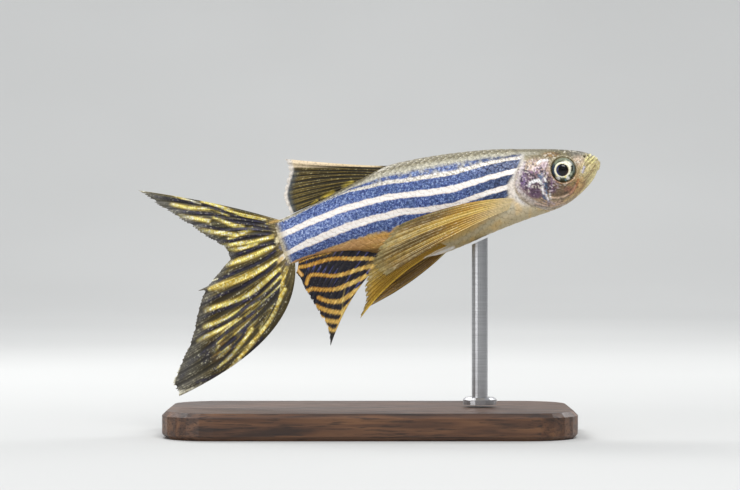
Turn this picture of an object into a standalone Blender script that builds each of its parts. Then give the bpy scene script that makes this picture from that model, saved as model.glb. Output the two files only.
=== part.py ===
"""A long-finned zebra danio swimming nose up, held by a rod on a flat display base.

Points are (x, z) or (x, y, z) in millimetres: +X to the snout, -Y to the fish's right side, +Z up.
The fish's points are measured from its middle, which floats LIFT above the underside of the base.
"""
import math

import bpy
import numpy as np

# Driving dimensions, in millimetres
MM = 0.001
LIFT = 21.3
GAP = 0.3
EYE_RADIUS = 1.42
EYE_HALF_THICKNESS = 0.95
EYE_CENTRE = (21.71, 8.46)
EYE_SINK = 0.62
EYE_FORWARD_SHARE = 0.25
FIN_THICKNESS = 0.54
FIN_CLEARANCE = GAP + 0.1
PAIRED_FIN_CLEARANCE = GAP + 0.05
TIP_THINNING = 0.6
RAY_RELIEF = 0.15
RAY_FOOT = 0.27
RAY_OVERHANG = 0.02
EDGE_RISE = 0.35
LIP_RADIUS = 0.2
MOUTH_LINE_RADIUS = 0.13
NOSTRIL_RADIUS = 0.17
BASE_LENGTH = 46.0
BASE_WIDTH = 25.0
BASE_HEIGHT = 3.0
BASE_CORNER = 6.0
BASE_CHAMFER = 0.5
ROD_RADIUS = 0.9
ROD_X = 12.4
ROD_COLLAR_RADIUS = 1.9
ROD_COLLAR_HEIGHT = 0.8
ROD_COLLAR_SHOULDER = 0.85
SHARP_EDGE = math.radians(40)

# Outline of the body from the snout to the root of the tail fin: back, belly and half width
BACK = [(25.7, 9.75), (24.9, 10.25), (23.7, 10.6), (22.3, 10.74), (20.5, 10.83), (18.4, 10.84),
        (16.0, 10.82), (13.5, 10.75), (10.7, 10.5), (7.9, 10.15), (5.0, 9.65), (1.9, 8.9),
        (-0.9, 7.5), (-3.4, 6.2), (-5.9, 4.85), (-7.9, 3.9), (-9.7, 3.1), (-11.0, 2.7)]
BELLY = [(25.7, 8.4), (25.3, 7.5), (24.6, 6.6), (23.4, 5.45), (22.1, 4.55), (20.4, 3.8),
         (18.3, 3.1), (16.0, 2.25), (13.3, 1.15), (10.5, -0.1), (7.7, -1.1), (4.5, -1.45),
         (1.6, -1.05), (-1.5, -0.65), (-4.4, -0.8), (-6.7, -1.3), (-8.2, -1.9), (-9.2, -2.5)]
HALF_WIDTH = [0.78, 1.25, 1.65, 1.95, 2.2, 2.4, 2.55, 2.7, 2.8, 2.8, 2.72, 2.5,
              2.2, 1.9, 1.55, 1.2, 0.85, 0.55]
NOSE_LENGTH = 0.3
BACK_ROUNDNESS = 0.92
SIDE_ROUNDNESS = 0.95
BELLY_NARROWING = 0.1

# The mouth's cleft, the lips beside it and the nostrils, from the snout's front to each corner
MOUTH_LINE = [(25.74, 9.72), (25.5, 9.62), (25.08, 9.34), (24.62, 8.9), (24.2, 8.25)]
UPPER_LIP = [(25.38, 9.98), (25.2, 9.9), (24.85, 9.66), (24.38, 9.2), (23.95, 8.5)]
LOWER_LIP = [(25.93, 9.42), (25.7, 9.33), (25.3, 9.05), (24.84, 8.6), (24.42, 8.0)]
NOSTRILS = [(24.2, 10.05), (23.75, 10.0)]

# Stations along the body, counted in points of the outline
LAST_STATION = len(BACK) - 1
STATION_SPACING = 2.45
GILL_TOP = 5.5
GILL_BULGE = 0.95
GILL_BULGE_ANGLE = 97
GILL_BULGE_SPREAD = 38
GILL_THROAT = 0.6
COVER_STEP = 0.13
COVER_ANGLE = 100
COVER_SPREAD = 48
TAIL_CUT = 13.0

# The fins' roots, the points that bend their rays and the rays' tips, from the leading edge
DORSAL_ROOT_X = (1.7, 0.4, -0.9, -2.1)
DORSAL_BENDS = [(-3.6, 9.2), (-5.0, 8.5), (-5.4, 6.9), (-5.6, 5.45)]
DORSAL_TIPS = [(-9.5, 9.62), (-9.35, 8.3), (-9.75, 6.3), (-9.7, 5.3), (-9.4, 4.5), (-9.0, 3.95)]
ANAL_ROOT_X = (2.4, -0.6, -3.6, -6.4, -8.1)
ANAL_BENDS = [(-2.3, -4.9), (-3.9, -3.9), (-5.6, -3.0), (-7.2, -2.9), (-8.1, -2.9)]
ANAL_TIPS = [(-4.45, -11.4), (-4.9, -9.3), (-5.9, -7.6), (-6.7, -6.1), (-7.4, -4.9), (-7.8, -3.9),
             (-8.35, -3.25)]
UPPER_TAIL_ROOTS = (0.03, 0.25, 0.47)
UPPER_TAIL_BENDS = [(-16.4, 4.75), (-15.2, 3.1), (-13.2, -0.2)]
UPPER_TAIL_TIPS = [(-26.0, 6.12), (-23.6, 4.3), (-20.9, 2.6), (-18.4, 0.85), (-16.5, -0.3), (-15.75, -1.4)]
LOWER_TAIL_ROOTS = (0.53, 0.75, 0.97)
LOWER_TAIL_BENDS = [(-13.2, -0.75), (-13.5, -3.2), (-13.0, -5.7), (-11.0, -8.3), (-7.8, -10.6)]
LOWER_TAIL_TIPS = [(-15.95, -1.85), (-17.5, -3.6), (-18.8, -5.4), (-19.6, -8.2), (-20.2, -10.7),
                   (-21.5, -13.6), (-22.2, -15.6), (-21.5, -17.05)]

# Paired fins: roots in the side view, then bends and tips as (x, out to the side, z)
PECTORAL_ROOTS = [(16.0, 5.2), (15.85, 4.6), (15.6, 4.0)]
PECTORAL_BENDS = [(10.5, 4.3, 5.2), (9.5, 4.56, 3.2), (9.0, 4.3, 1.2)]
PECTORAL_TIPS = [(3.6, 5.2, 2.4), (1.9, 5.41, 0.9), (0.5, 5.51, -1.1), (0.3, 5.41, -2.6), (1.8, 5.2, -3.4)]
RIGHT_PELVIC_ROOTS = [(8.9, -0.15), (8.5, 0.0), (8.1, 0.15)]
RIGHT_PELVIC_BENDS = [(2.9, 3.0, -2.7), (3.2, 3.6, -1.9), (3.6, 3.8, -0.7)]
RIGHT_PELVIC_TIPS = [(-1.1, 2.6, -8.2), (-0.5, 3.2, -6.2), (-0.6, 3.6, -4.7), (-0.2, 3.8, -3.0)]
LEFT_PELVIC_ROOTS = [(9.3, -0.3), (8.9, -0.15), (8.5, 0.0)]
LEFT_PELVIC_BENDS = [(5.5, 2.2, -4.2), (5.0, 3.2, -3.0), (4.6, 3.7, -2.0)]
LEFT_PELVIC_TIPS = [(-0.3, 2.4, -7.1), (0.6, 2.9, -6.2), (0.6, 3.5, -5.0), (0.8, 3.8, -4.0)]

# Rays of each fin, and points along each ray
DORSAL_RAYS, DORSAL_ROWS = 9, 8
ANAL_RAYS, ANAL_ROWS = 13, 9
UPPER_TAIL_RAYS, UPPER_TAIL_ROWS = 9, 9
LOWER_TAIL_RAYS, LOWER_TAIL_ROWS = 10, 10
PECTORAL_RAYS, PECTORAL_ROWS = 10, 8
PELVIC_RAYS, PELVIC_ROWS = 7, 8

HEAD_RINGS = 20
TRUNK_RINGS = 14
TAIL_RINGS = 7
RING_POINTS = 32


def smooth(points, t):
    """Points of the smooth curve through the named points, at t from 0 to 1, evenly by point."""
    given = np.asarray(points, float)
    if given.ndim == 1:
        given = given[:, None]
    ends = np.vstack([2 * given[0] - given[1], given, 2 * given[-1] - given[-2]])
    place = np.clip(np.asarray(t, float), 0, 1) * (len(given) - 1)
    first = np.minimum(place.astype(int), len(given) - 2)
    along = (place - first)[..., None]
    a, b, c, d = (ends[first + step] for step in range(4))
    return b + along * (0.5 * (c - a) + along * (a - 2.5 * b + 2 * c - 0.5 * d
                                                + along * (1.5 * (b - c) + 0.5 * (d - a))))


def fade(start, end, value):
    """0 before start, 1 after end and an even turn between."""
    share = np.clip((np.asarray(value, float) - start) / (end - start), 0, 1)
    return share * share * (3 - 2 * share)


def sway(x):
    """How far the middle line swings to the fish's left as the tail beats."""
    return 1.3 * fade(6.0, -14.0, x) - 2.2 * fade(-12.0, -27.0, x)


def skin(station, angle):
    """Body surface at a station of the outline and an angle from the back round the left side."""
    t = np.asarray(station, float) / LAST_STATION
    back = smooth(BACK, t)
    belly = smooth(BELLY, t)
    width = smooth(HALF_WIDTH, t)[..., 0]
    middle = (back + belly) / 2
    half = (back - belly) / 2
    up = np.cos(angle)
    out = np.sin(angle)
    tall = np.sign(up) * np.abs(up) ** BACK_ROUNDNESS
    wide = np.sign(out) * np.abs(out) ** SIDE_ROUNDNESS * (1 - BELLY_NARROWING * fade(-0.2, -1.0, up))
    flat = middle + half * tall[..., None]
    return np.stack([flat[..., 0], width * wide + sway(flat[..., 0]), flat[..., 1]], -1)


def on_skin(x, z, side):
    """The skin point seen at (x, z) from the side given as -1, the right, or 1, and its outward normal."""
    stations = np.linspace(0, LAST_STATION, 341)[:, None]
    angles = side * np.radians(np.linspace(2, 178, 177))[None, :]
    found = skin(stations + 0 * angles, angles + 0 * stations)
    miss = (found[..., 0] - x) ** 2 + (found[..., 2] - z) ** 2
    row, column = np.unravel_index(np.argmin(miss), miss.shape)
    station, angle = stations[row, 0], angles[0, column]
    step = 0.02
    ahead = skin(np.array(station + step), np.array(angle)) - skin(np.array(station - step), np.array(angle))
    around = skin(np.array(station), np.array(angle + step)) - skin(np.array(station), np.array(angle - step))
    normal = np.cross(around, ahead)
    normal *= side * np.sign(normal[1]) / np.linalg.norm(normal)
    return found[row, column], normal


def height_at(outline, x):
    """Height of the back's or the belly's outline at x."""
    line = smooth(outline, np.linspace(0, 1, 200))
    return np.interp(x, line[::-1, 0], line[::-1, 1])


def gill_station(angle):
    """Station of the gill cover's rear edge at each angle round the body."""
    turn = np.abs(np.degrees(angle))
    bulge = GILL_BULGE * np.exp(-((turn - GILL_BULGE_ANGLE) / GILL_BULGE_SPREAD) ** 2)
    return GILL_TOP + bulge - GILL_THROAT * fade(120, 180, turn)


def material(name, colour, roughness, metallic=0.0):
    made = bpy.data.materials.new(name)
    made.use_nodes = True
    shader = made.node_tree.nodes["Principled BSDF"]
    shader.inputs["Base Color"].default_value = (*colour, 1)
    shader.inputs["Roughness"].default_value = roughness
    shader.inputs["Metallic"].default_value = metallic
    made.diffuse_color = (*colour, 1)
    return made


def add_object(name, points, faces, look):
    """A mesh object facing out, from points in millimetres measured from the fish's middle."""
    placed = (np.asarray(points, float) + (0, 0, LIFT)) * MM
    corners = placed[np.asarray(faces)]
    if np.linalg.det(corners).sum() < 0:
        faces = [face[::-1] for face in faces]
    mesh = bpy.data.meshes.new(name)
    mesh.from_pydata(placed.tolist(), [], faces)
    mesh.validate()
    mesh.shade_smooth()
    mesh.set_sharp_from_angle(angle=SHARP_EDGE)
    mesh.materials.append(look)
    made = bpy.data.objects.new(name, mesh)
    bpy.context.scene.collection.objects.link(made)
    return made


def loft(name, rings, look, start_tip=None, end_tip=None):
    """Closed body over rings of equal length, its two ends fanned to a point inside or given."""
    rows = [np.asarray(ring) for ring in rings]
    count = len(rows[0])
    points = np.vstack(rows)
    first_tip = rows[0].mean(0) if start_tip is None else np.asarray(start_tip)
    last_tip = rows[-1].mean(0) if end_tip is None else np.asarray(end_tip)
    points = np.vstack([points, first_tip, last_tip])
    tip = len(points) - 2
    faces = []
    for row in range(len(rows) - 1):
        for k in range(count):
            a = row * count + k
            b = row * count + (k + 1) % count
            faces.append((a, b, b + count))
            faces.append((a, b + count, a + count))
    last = (len(rows) - 1) * count
    for k in range(count):
        after = (k + 1) % count
        faces.append((tip, after, k))
        faces.append((tip + 1, last + k, last + after))
    return add_object(name, points, faces, look)


def body_rings(start, end, count, swell=None):
    """Rings between two station functions of the angle round the body, swelled sideways if given."""
    angles = np.linspace(0, 2 * math.pi, RING_POINTS, endpoint=False)
    wrapped = (angles + math.pi) % (2 * math.pi) - math.pi
    rings = []
    for share in np.linspace(0, 1, count):
        stations = start(wrapped) * (1 - share) + end(wrapped) * share
        ring = skin(stations, wrapped)
        if swell is not None:
            ring[:, 1] += swell(stations, wrapped)
        rings.append(ring)
    return rings


def nose_rings():
    """Small rings that round off the snout in front of the first station."""
    first = body_rings(lambda a: 0 * a, lambda a: 0 * a, 2)[0]
    centre = first.mean(0)
    rings = []
    for degrees in (68, 42, 18):
        turn = math.radians(degrees)
        forward = np.array([NOSE_LENGTH * math.sin(turn), 0, 0])
        rings.append(centre + (first - centre) * math.cos(turn) + forward)
    return rings, centre + np.array([NOSE_LENGTH, 0, 0])


def cover_swell(station, angle):
    """How far the gill cover stands out at the head's sides, towards its rear edge."""
    side = np.exp(-((np.abs(np.degrees(angle)) - COVER_ANGLE) / COVER_SPREAD) ** 2)
    return COVER_STEP * fade(2.6, 4.8, station) * side * np.sign(np.sin(angle))


def add_head(look):
    front, tip = nose_rings()
    rings = front + body_rings(lambda a: 0 * a, gill_station, HEAD_RINGS, cover_swell)
    return loft("head", rings, look, start_tip=tip)


def tube(name, path, radius, look, sides=8):
    """Closed tube along a path, its ends drawn to points."""
    path = np.asarray(path)
    lengthwise = np.gradient(path, axis=0)
    lengthwise /= np.linalg.norm(lengthwise, axis=1, keepdims=True)
    turns = np.linspace(0, 2 * math.pi, sides, endpoint=False)
    rings = []
    for place, ahead in zip(path[1:-1], lengthwise[1:-1]):
        first = np.cross(ahead, (0, 0, 1))
        first /= np.linalg.norm(first)
        second = np.cross(ahead, first)
        rings.append(place + radius * (np.cos(turns)[:, None] * first + np.sin(turns)[:, None] * second))
    return loft(name, rings, look, path[0], path[-1])


def round_snout(line, count=19):
    """A path on the skin from the right corner of the mouth round the snout to the left one."""
    tip = np.array([[line[0][0], 0, line[0][1]]])
    right = np.array([on_skin(x, z, -1)[0] for x, z in reversed(line[1:])])
    left = right[::-1] * (1, -1, 1)
    return smooth(np.vstack([right, tip, left]), np.linspace(0, 1, count))


def add_lips(head, look):
    upper = tube("upper_lip", round_snout(UPPER_LIP), LIP_RADIUS, look)
    lower = tube("lower_lip", round_snout(LOWER_LIP), LIP_RADIUS, look)
    join(head, [upper, lower], "UNION")


def nostril_cutter(x, z, side, look):
    place, normal = on_skin(x, z, side)
    return tube("nostril", [place + normal * step for step in (0.3, 0.2, -0.15, -0.25)],
                NOSTRIL_RADIUS, look)


def cut_mouth_and_nostrils(head, look):
    cutters = [tube("mouth_line", round_snout(MOUTH_LINE), MOUTH_LINE_RADIUS, look)]
    for side in (-1, 1):
        cutters += [nostril_cutter(x, z, side, look) for x, z in NOSTRILS]
    join(head, cutters, "DIFFERENCE")


def cut_gap(station):
    """The next station back across the parting gap."""
    return station + GAP / STATION_SPACING


def add_trunk(look):
    rings = body_rings(lambda a: cut_gap(gill_station(a)), lambda a: TAIL_CUT + 0 * a, TRUNK_RINGS)
    loft("trunk", rings, look)


def add_tail_stem(look):
    rings = body_rings(lambda a: cut_gap(TAIL_CUT + 0 * a), lambda a: LAST_STATION + 0 * a, TAIL_RINGS)
    loft("tail_stem", rings, look)


def eye_points(side, grow):
    """Rings of a flattened ball set in the head's side, grown by the gap for its socket."""
    place, normal = on_skin(*EYE_CENTRE, side)
    outward = np.array([0.0, side, 0.0]) * (1 - EYE_FORWARD_SHARE) + normal * EYE_FORWARD_SHARE
    outward /= np.linalg.norm(outward)
    right = np.cross((0, 0, 1), outward)
    right /= np.linalg.norm(right)
    up = np.cross(outward, right)
    centre = place - outward * EYE_SINK
    rings = []
    for degrees in np.linspace(-75, 75, 9):
        tilt = math.radians(degrees)
        reach = (EYE_RADIUS + grow) * math.cos(tilt)
        depth = (EYE_HALF_THICKNESS + grow) * math.sin(tilt)
        turns = np.linspace(0, 2 * math.pi, 24, endpoint=False)
        rings.append(centre + outward * depth
                     + reach * (np.cos(turns)[:, None] * right + np.sin(turns)[:, None] * up))
    back = centre - outward * (EYE_HALF_THICKNESS + grow)
    front = centre + outward * (EYE_HALF_THICKNESS + grow)
    return rings, back, front


def add_eye(side, look):
    rings, back, front = eye_points(side, 0)
    loft("eye_left" if side > 0 else "eye_right", rings, look, back, front)


def join(target, pieces, operation):
    """Applies one Boolean of the closed pieces on the target, then removes them."""
    group = bpy.data.collections.new("pieces")
    bpy.context.scene.collection.children.link(group)
    for piece in pieces:
        bpy.context.scene.collection.objects.unlink(piece)
        group.objects.link(piece)
    change = target.modifiers.new("join", "BOOLEAN")
    change.operation = operation
    change.solver = "MANIFOLD"
    change.operand_type = "COLLECTION"
    change.collection = group
    bpy.context.view_layer.update()
    evaluated = target.evaluated_get(bpy.context.evaluated_depsgraph_get())
    made = bpy.data.meshes.new_from_object(evaluated)
    target.modifiers.clear()
    target.data = made
    for piece in pieces:
        bpy.data.objects.remove(piece)
    bpy.data.collections.remove(group)


def cut_sockets(head, look):
    cutters = []
    for side in (-1, 1):
        rings, back, front = eye_points(side, GAP)
        cutters.append(loft(f"socket_{side}", rings, look, back, front))
    join(head, cutters, "DIFFERENCE")


def fin_columns(rays):
    """Places across a fin from its first to its last edge, and how far each stands on a ray."""
    foot = RAY_FOOT / rays
    columns = [(0.0, EDGE_RISE)]
    for ray in range(rays):
        centre = (ray + 0.5) / rays
        columns += [(centre - foot, 0.0), (centre, 1.0), (centre + foot, 0.0)]
    return columns + [(1.0, EDGE_RISE)]


def fin(name, roots, controls, tips, rays, rows, look, wave=None):
    """A membrane with raised rays from its root curve to its tip curve, each ray bent by a control curve."""
    columns = fin_columns(rays)
    across = np.array([u for u, _ in columns])
    raised = np.array([r for _, r in columns])
    along = np.linspace(0, 1, rows)
    short = 1 - RAY_OVERHANG * (1 - raised)

    def middle(u, v):
        root, control, tip = (smooth(curve, u) for curve in (roots, controls, tips))
        v = v[..., None]
        place = (1 - v) ** 2 * root + 2 * v * (1 - v) * control + v * v * tip
        if wave is not None:
            place = place + wave(u, v[..., 0])
        return place

    u = across[:, None] + 0 * along[None, :]
    v = short[:, None] * along[None, :]
    step = 0.004
    edge = np.clip(u, step, 1 - step)
    run = np.clip(v, step, 1 - step)
    slope_u = middle(edge + step, run) - middle(edge - step, run)
    slope_v = middle(edge, run + step) - middle(edge, run - step)
    normal = np.cross(slope_u, slope_v)
    normal /= np.linalg.norm(normal, axis=-1, keepdims=True)
    thin = 1 - TIP_THINNING * fade(0.72, 1.0, v)
    half = (FIN_THICKNESS / 2 + RAY_RELIEF * raised[:, None]) * thin
    centre = middle(u, v)
    front = (centre + normal * half[..., None]).reshape(-1, 3)
    rear = (centre - normal * half[..., None]).reshape(-1, 3)
    close_fin(name, front, rear, len(columns), rows, look)


def close_fin(name, front, rear, columns, rows, look):
    """Joins a fin's two faces, split into the same triangles, round its rim."""
    faces = []
    other = len(front)

    def index(column, row):
        return column * rows + row

    for column in range(columns - 1):
        for row in range(rows - 1):
            a = index(column, row)
            b = index(column + 1, row)
            c = index(column + 1, row + 1)
            d = index(column, row + 1)
            faces += [(a, b, c), (a, c, d)]
            faces += [(other + a, other + c, other + b), (other + a, other + d, other + c)]
    rim = [index(column, 0) for column in range(columns)]
    rim += [index(columns - 1, row) for row in range(1, rows)]
    rim += [index(column, rows - 1) for column in range(columns - 2, -1, -1)]
    rim += [index(0, row) for row in range(rows - 2, 0, -1)]
    for here, there in zip(rim, rim[1:] + rim[:1]):
        faces += [(here, other + here, other + there), (here, other + there, there)]
    add_object(name, np.vstack([front, rear]), faces, look)


def in_plane(points):
    """Points (x, z) of the fish's middle plane, swung with its tail."""
    flat = np.asarray(points, float)
    return np.stack([flat[:, 0], sway(flat[:, 0]), flat[:, 1]], -1)


def ripple(size, folds, start=0.0):
    """A wave across a fin that grows towards its tips."""
    def wave(u, v):
        shift = size * v ** 1.5 * np.sin(2 * math.pi * folds * u + start)
        return np.stack([0 * shift, shift, 0 * shift], -1)
    return wave


def add_dorsal_fin(look):
    roots = in_plane([(x, height_at(BACK, x) + FIN_CLEARANCE) for x in DORSAL_ROOT_X])
    fin("dorsal_fin", roots, in_plane(DORSAL_BENDS), in_plane(DORSAL_TIPS), DORSAL_RAYS, DORSAL_ROWS,
        look, ripple(0.25, 0.8))


def add_anal_fin(look):
    roots = in_plane([(x, height_at(BELLY, x) - FIN_CLEARANCE) for x in ANAL_ROOT_X])
    fin("anal_fin", roots, in_plane(ANAL_BENDS), in_plane(ANAL_TIPS), ANAL_RAYS, ANAL_ROWS, look,
        ripple(0.3, 1.1, 0.6))


def tail_roots(shares):
    """Points just behind the body's end, from its top at 0 to its bottom at 1."""
    top = np.array(BACK[-1])
    line = np.array(BELLY[-1]) - top
    behind = np.array([line[1], -line[0]]) / np.linalg.norm(line)
    return in_plane([top + line * share + behind * GAP for share in shares])


def add_tail_fin(look):
    fin("caudal_fin_upper", tail_roots(UPPER_TAIL_ROOTS), in_plane(UPPER_TAIL_BENDS),
        in_plane(UPPER_TAIL_TIPS), UPPER_TAIL_RAYS, UPPER_TAIL_ROWS, look, ripple(0.35, 1.2, 0.4))
    fin("caudal_fin_lower", tail_roots(LOWER_TAIL_ROOTS), in_plane(LOWER_TAIL_BENDS),
        in_plane(LOWER_TAIL_TIPS), LOWER_TAIL_RAYS, LOWER_TAIL_ROWS, look, ripple(0.4, 1.4, 2.0))


def paired_fin(name, side, roots, bends, tips, rays, rows, look, wave=None):
    """A fin of one side, -1 the right or 1 the left, rooted just off the skin."""
    placed = []
    for x, z in roots:
        place, normal = on_skin(x, z, side)
        placed.append(place + normal * PAIRED_FIN_CLEARANCE)
    sideways = (1, side, 1)
    fin(name, np.array(placed), np.array(bends) * sideways, np.array(tips) * sideways, rays, rows, look, wave)


def add_paired_fins(look):
    for side, end in ((-1, "right"), (1, "left")):
        paired_fin(f"pectoral_fin_{end}", side, PECTORAL_ROOTS, PECTORAL_BENDS, PECTORAL_TIPS,
                   PECTORAL_RAYS, PECTORAL_ROWS, look, ripple(0.2, 1.5))
    paired_fin("pelvic_fin_right", -1, RIGHT_PELVIC_ROOTS, RIGHT_PELVIC_BENDS, RIGHT_PELVIC_TIPS,
               PELVIC_RAYS, PELVIC_ROWS, look)
    paired_fin("pelvic_fin_left", 1, LEFT_PELVIC_ROOTS, LEFT_PELVIC_BENDS, LEFT_PELVIC_TIPS,
               PELVIC_RAYS, PELVIC_ROWS, look)


def add_base(look):
    """Flat plate with round corners and chamfered edges."""
    def outline(inset):
        radius = BASE_CORNER - inset
        points = []
        for corner in range(4):
            turn = corner * math.pi / 2
            sign_x = 1 if corner in (0, 3) else -1
            sign_y = 1 if corner in (0, 1) else -1
            for step in range(7):
                angle = turn + step / 6 * math.pi / 2
                points.append((sign_x * (BASE_LENGTH / 2 - BASE_CORNER) + radius * math.cos(angle),
                               sign_y * (BASE_WIDTH / 2 - BASE_CORNER) + radius * math.sin(angle)))
        return np.array(points)

    rings = []
    for height, inset in ((0, BASE_CHAMFER), (BASE_CHAMFER, 0),
                          (BASE_HEIGHT - BASE_CHAMFER, 0), (BASE_HEIGHT, BASE_CHAMFER)):
        ring = outline(inset)
        rings.append(np.column_stack([ring, np.full(len(ring), height - LIFT)]))
    loft("stand_base", rings, look)


def add_rod(look):
    """Upright rod with a collar at its foot and its top cut along the belly."""
    turns = np.linspace(0, 2 * math.pi, 20, endpoint=False)
    circle = np.column_stack([np.cos(turns), np.sin(turns)])
    foot = BASE_HEIGHT + GAP - LIFT
    collar_top = foot + ROD_COLLAR_HEIGHT
    profile = [(ROD_COLLAR_RADIUS, foot), (ROD_COLLAR_RADIUS, foot + ROD_COLLAR_HEIGHT * 0.7),
               (ROD_COLLAR_RADIUS * ROD_COLLAR_SHOULDER, collar_top), (ROD_RADIUS, collar_top)]
    rings = []
    for radius, height in profile:
        rings.append(np.column_stack([circle * radius + (ROD_X, 0), np.full(len(circle), height)]))
    top = circle * ROD_RADIUS + (ROD_X, 0)
    rings.append(np.column_stack([top, height_at(BELLY, top[:, 0]) - GAP]))
    loft("stand_rod", rings, look)


def main():
    for old in list(bpy.data.objects):
        bpy.data.objects.remove(old)
    skin_look = material("skin", (0.62, 0.56, 0.42), 0.35)
    eye_look = material("eye", (0.75, 0.74, 0.62), 0.15)
    fin_look = material("fins", (0.55, 0.45, 0.12), 0.4)
    steel = material("steel", (0.6, 0.6, 0.6), 0.3, 1.0)
    wood = material("wood", (0.12, 0.06, 0.03), 0.5)
    head = add_head(skin_look)
    add_lips(head, skin_look)
    cut_mouth_and_nostrils(head, skin_look)
    cut_sockets(head, skin_look)
    add_trunk(skin_look)
    add_tail_stem(skin_look)
    add_dorsal_fin(fin_look)
    add_anal_fin(fin_look)
    add_tail_fin(fin_look)
    add_paired_fins(fin_look)
    for side in (-1, 1):
        add_eye(side, eye_look)
    add_base(wood)
    add_rod(steel)


main()
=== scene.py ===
"""Looks of a long-finned zebra danio on its display stand.

Lengths are in millimetres: +X to the snout, -Y to the fish's right side, +Z up, measured from the
fish's middle, which floats LIFT above the underside of the base. Marks on the skin and fins are
placed by pixels of the photograph's 740 x 490 frame, PIXEL millimetres each.
"""
import math
from functools import partial

import bpy
import numpy as np
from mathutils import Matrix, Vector


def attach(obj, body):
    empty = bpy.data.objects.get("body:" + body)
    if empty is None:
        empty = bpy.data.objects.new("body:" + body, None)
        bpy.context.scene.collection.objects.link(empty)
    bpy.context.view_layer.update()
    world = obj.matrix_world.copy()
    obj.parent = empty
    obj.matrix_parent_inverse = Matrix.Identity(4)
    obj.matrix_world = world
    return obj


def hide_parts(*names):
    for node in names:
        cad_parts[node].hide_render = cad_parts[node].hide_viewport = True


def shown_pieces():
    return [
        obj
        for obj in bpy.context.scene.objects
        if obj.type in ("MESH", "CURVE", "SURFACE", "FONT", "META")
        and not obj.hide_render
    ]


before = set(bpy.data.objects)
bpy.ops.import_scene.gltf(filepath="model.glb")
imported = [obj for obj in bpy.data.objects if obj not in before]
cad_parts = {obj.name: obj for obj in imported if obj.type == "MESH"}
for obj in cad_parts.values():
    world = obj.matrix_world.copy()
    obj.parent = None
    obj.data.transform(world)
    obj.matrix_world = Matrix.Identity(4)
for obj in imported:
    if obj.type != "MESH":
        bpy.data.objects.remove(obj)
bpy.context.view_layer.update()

# Scale of the photograph and place of the fish
MM = 0.001
PIXEL = 0.113
FRAME_WIDTH = 740
FRAME_HEIGHT = 490
LIFT = 21.3
BODY = "root"
SIDES = {-1: "right", 1: "left"}
TAIL_SWING = 1.3
FIN_SWING = 2.2
NOISE_CELLS = 64

# Outline of the body from the snout to the root of the tail fin, as in the solids
BACK = [(25.7, 9.75), (24.9, 10.25), (23.7, 10.6), (22.3, 10.74), (20.5, 10.83), (18.4, 10.84),
        (16.0, 10.82), (13.5, 10.75), (10.7, 10.5), (7.9, 10.15), (5.0, 9.65), (1.9, 8.9),
        (-0.9, 7.5), (-3.4, 6.2), (-5.9, 4.85), (-7.9, 3.9), (-9.7, 3.1), (-11.0, 2.7)]
BELLY = [(25.7, 8.4), (25.3, 7.5), (24.6, 6.6), (23.4, 5.45), (22.1, 4.55), (20.4, 3.8),
         (18.3, 3.1), (16.0, 2.25), (13.3, 1.15), (10.5, -0.1), (7.7, -1.1), (4.5, -1.45),
         (1.6, -1.05), (-1.5, -0.65), (-4.4, -0.8), (-6.7, -1.3), (-8.2, -1.9), (-9.2, -2.5)]
HALF_WIDTH = [0.78, 1.25, 1.65, 1.95, 2.2, 2.4, 2.55, 2.7, 2.8, 2.8, 2.72, 2.5,
              2.2, 1.9, 1.55, 1.2, 0.85, 0.55]
NOSE_LENGTH = 0.3
LAST_STATION = len(BACK) - 1
SECTION_TALL = 0.92
SECTION_WIDE = 0.95
GILL_TOP = 5.5
GILL_BULGE = 0.95
GILL_THROAT = 0.6
GILL_TURN = 97
GILL_SPREAD = 38
COVER_STEP = 0.13
COVER_TURN = 100
COVER_SPREAD = 48
TAIL_WEDGE = 0.6
SKIN_COLUMNS = 400
NOSE_ROWS = 25
HEAD_ROWS = 205
BODY_ROWS = 170

# Eyes; the pupil and its shift are shares of the radius
EYE_RADIUS = 1.42
EYE_HALF_THICKNESS = 0.95
EYE_CENTRE = (21.71, 8.46)
EYE_SINK = 0.62
PUPIL = 0.49
PUPIL_SHIFT = (-0.118, -0.054)
LENS_RISE = 0.05
PUPIL_GROOVE = 0.03
GROOVE_WIDTH = 0.03
IRIS_BLUR = 0.03
EYE_TURNED_OUT = 0.75
SOCKET_DEPTH = 1.3
SOCKET_RIM = 0.07
EYE_ROWS = 90
EYE_COLUMNS = 144


def smooth(points, t):
    """Points of the smooth curve through the named points, at t from 0 to 1, evenly by point."""
    given = np.asarray(points, float)
    if given.ndim == 1:
        given = given[:, None]
    ends = np.vstack([2 * given[0] - given[1], given, 2 * given[-1] - given[-2]])
    place = np.clip(np.asarray(t, float), 0, 1) * (len(given) - 1)
    first = np.minimum(place.astype(int), len(given) - 2)
    along = (place - first)[..., None]
    a, b, c, d = (ends[first + step] for step in range(4))
    return b + along * (0.5 * (c - a) + along * (a - 2.5 * b + 2 * c - 0.5 * d
                                                + along * (1.5 * (b - c) + 0.5 * (d - a))))


def fade(start, end, value):
    """0 before start, 1 after end and an even turn between."""
    share = np.clip((np.asarray(value, float) - start) / (end - start), 0, 1)
    return share * share * (3 - 2 * share)


def signed_power(value, power):
    """A power of the size of a number, with its sign."""
    return np.sign(value) * np.abs(value) ** power


def sway(x):
    """How far the middle line swings to the fish's left as the tail beats."""
    return TAIL_SWING * fade(6.0, -14.0, x) - FIN_SWING * fade(-12.0, -27.0, x)


def at_pixel(points):
    """Pixels of the photograph as (x, z) in millimetres."""
    pixels = np.asarray(points, float)
    return np.stack([(pixels[:, 0] - FRAME_WIDTH / 2) * PIXEL,
                     (FRAME_HEIGHT / 2 - pixels[:, 1]) * PIXEL], -1)


def rgb(red, green, blue):
    """Screen colour, 0 to 255, as the linear colour that shaders take."""
    screen = np.array([red, green, blue]) / 255
    return np.where(screen <= 0.04045, screen / 12.92, ((screen + 0.055) / 1.055) ** 2.4)


# Distances and masks

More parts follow.
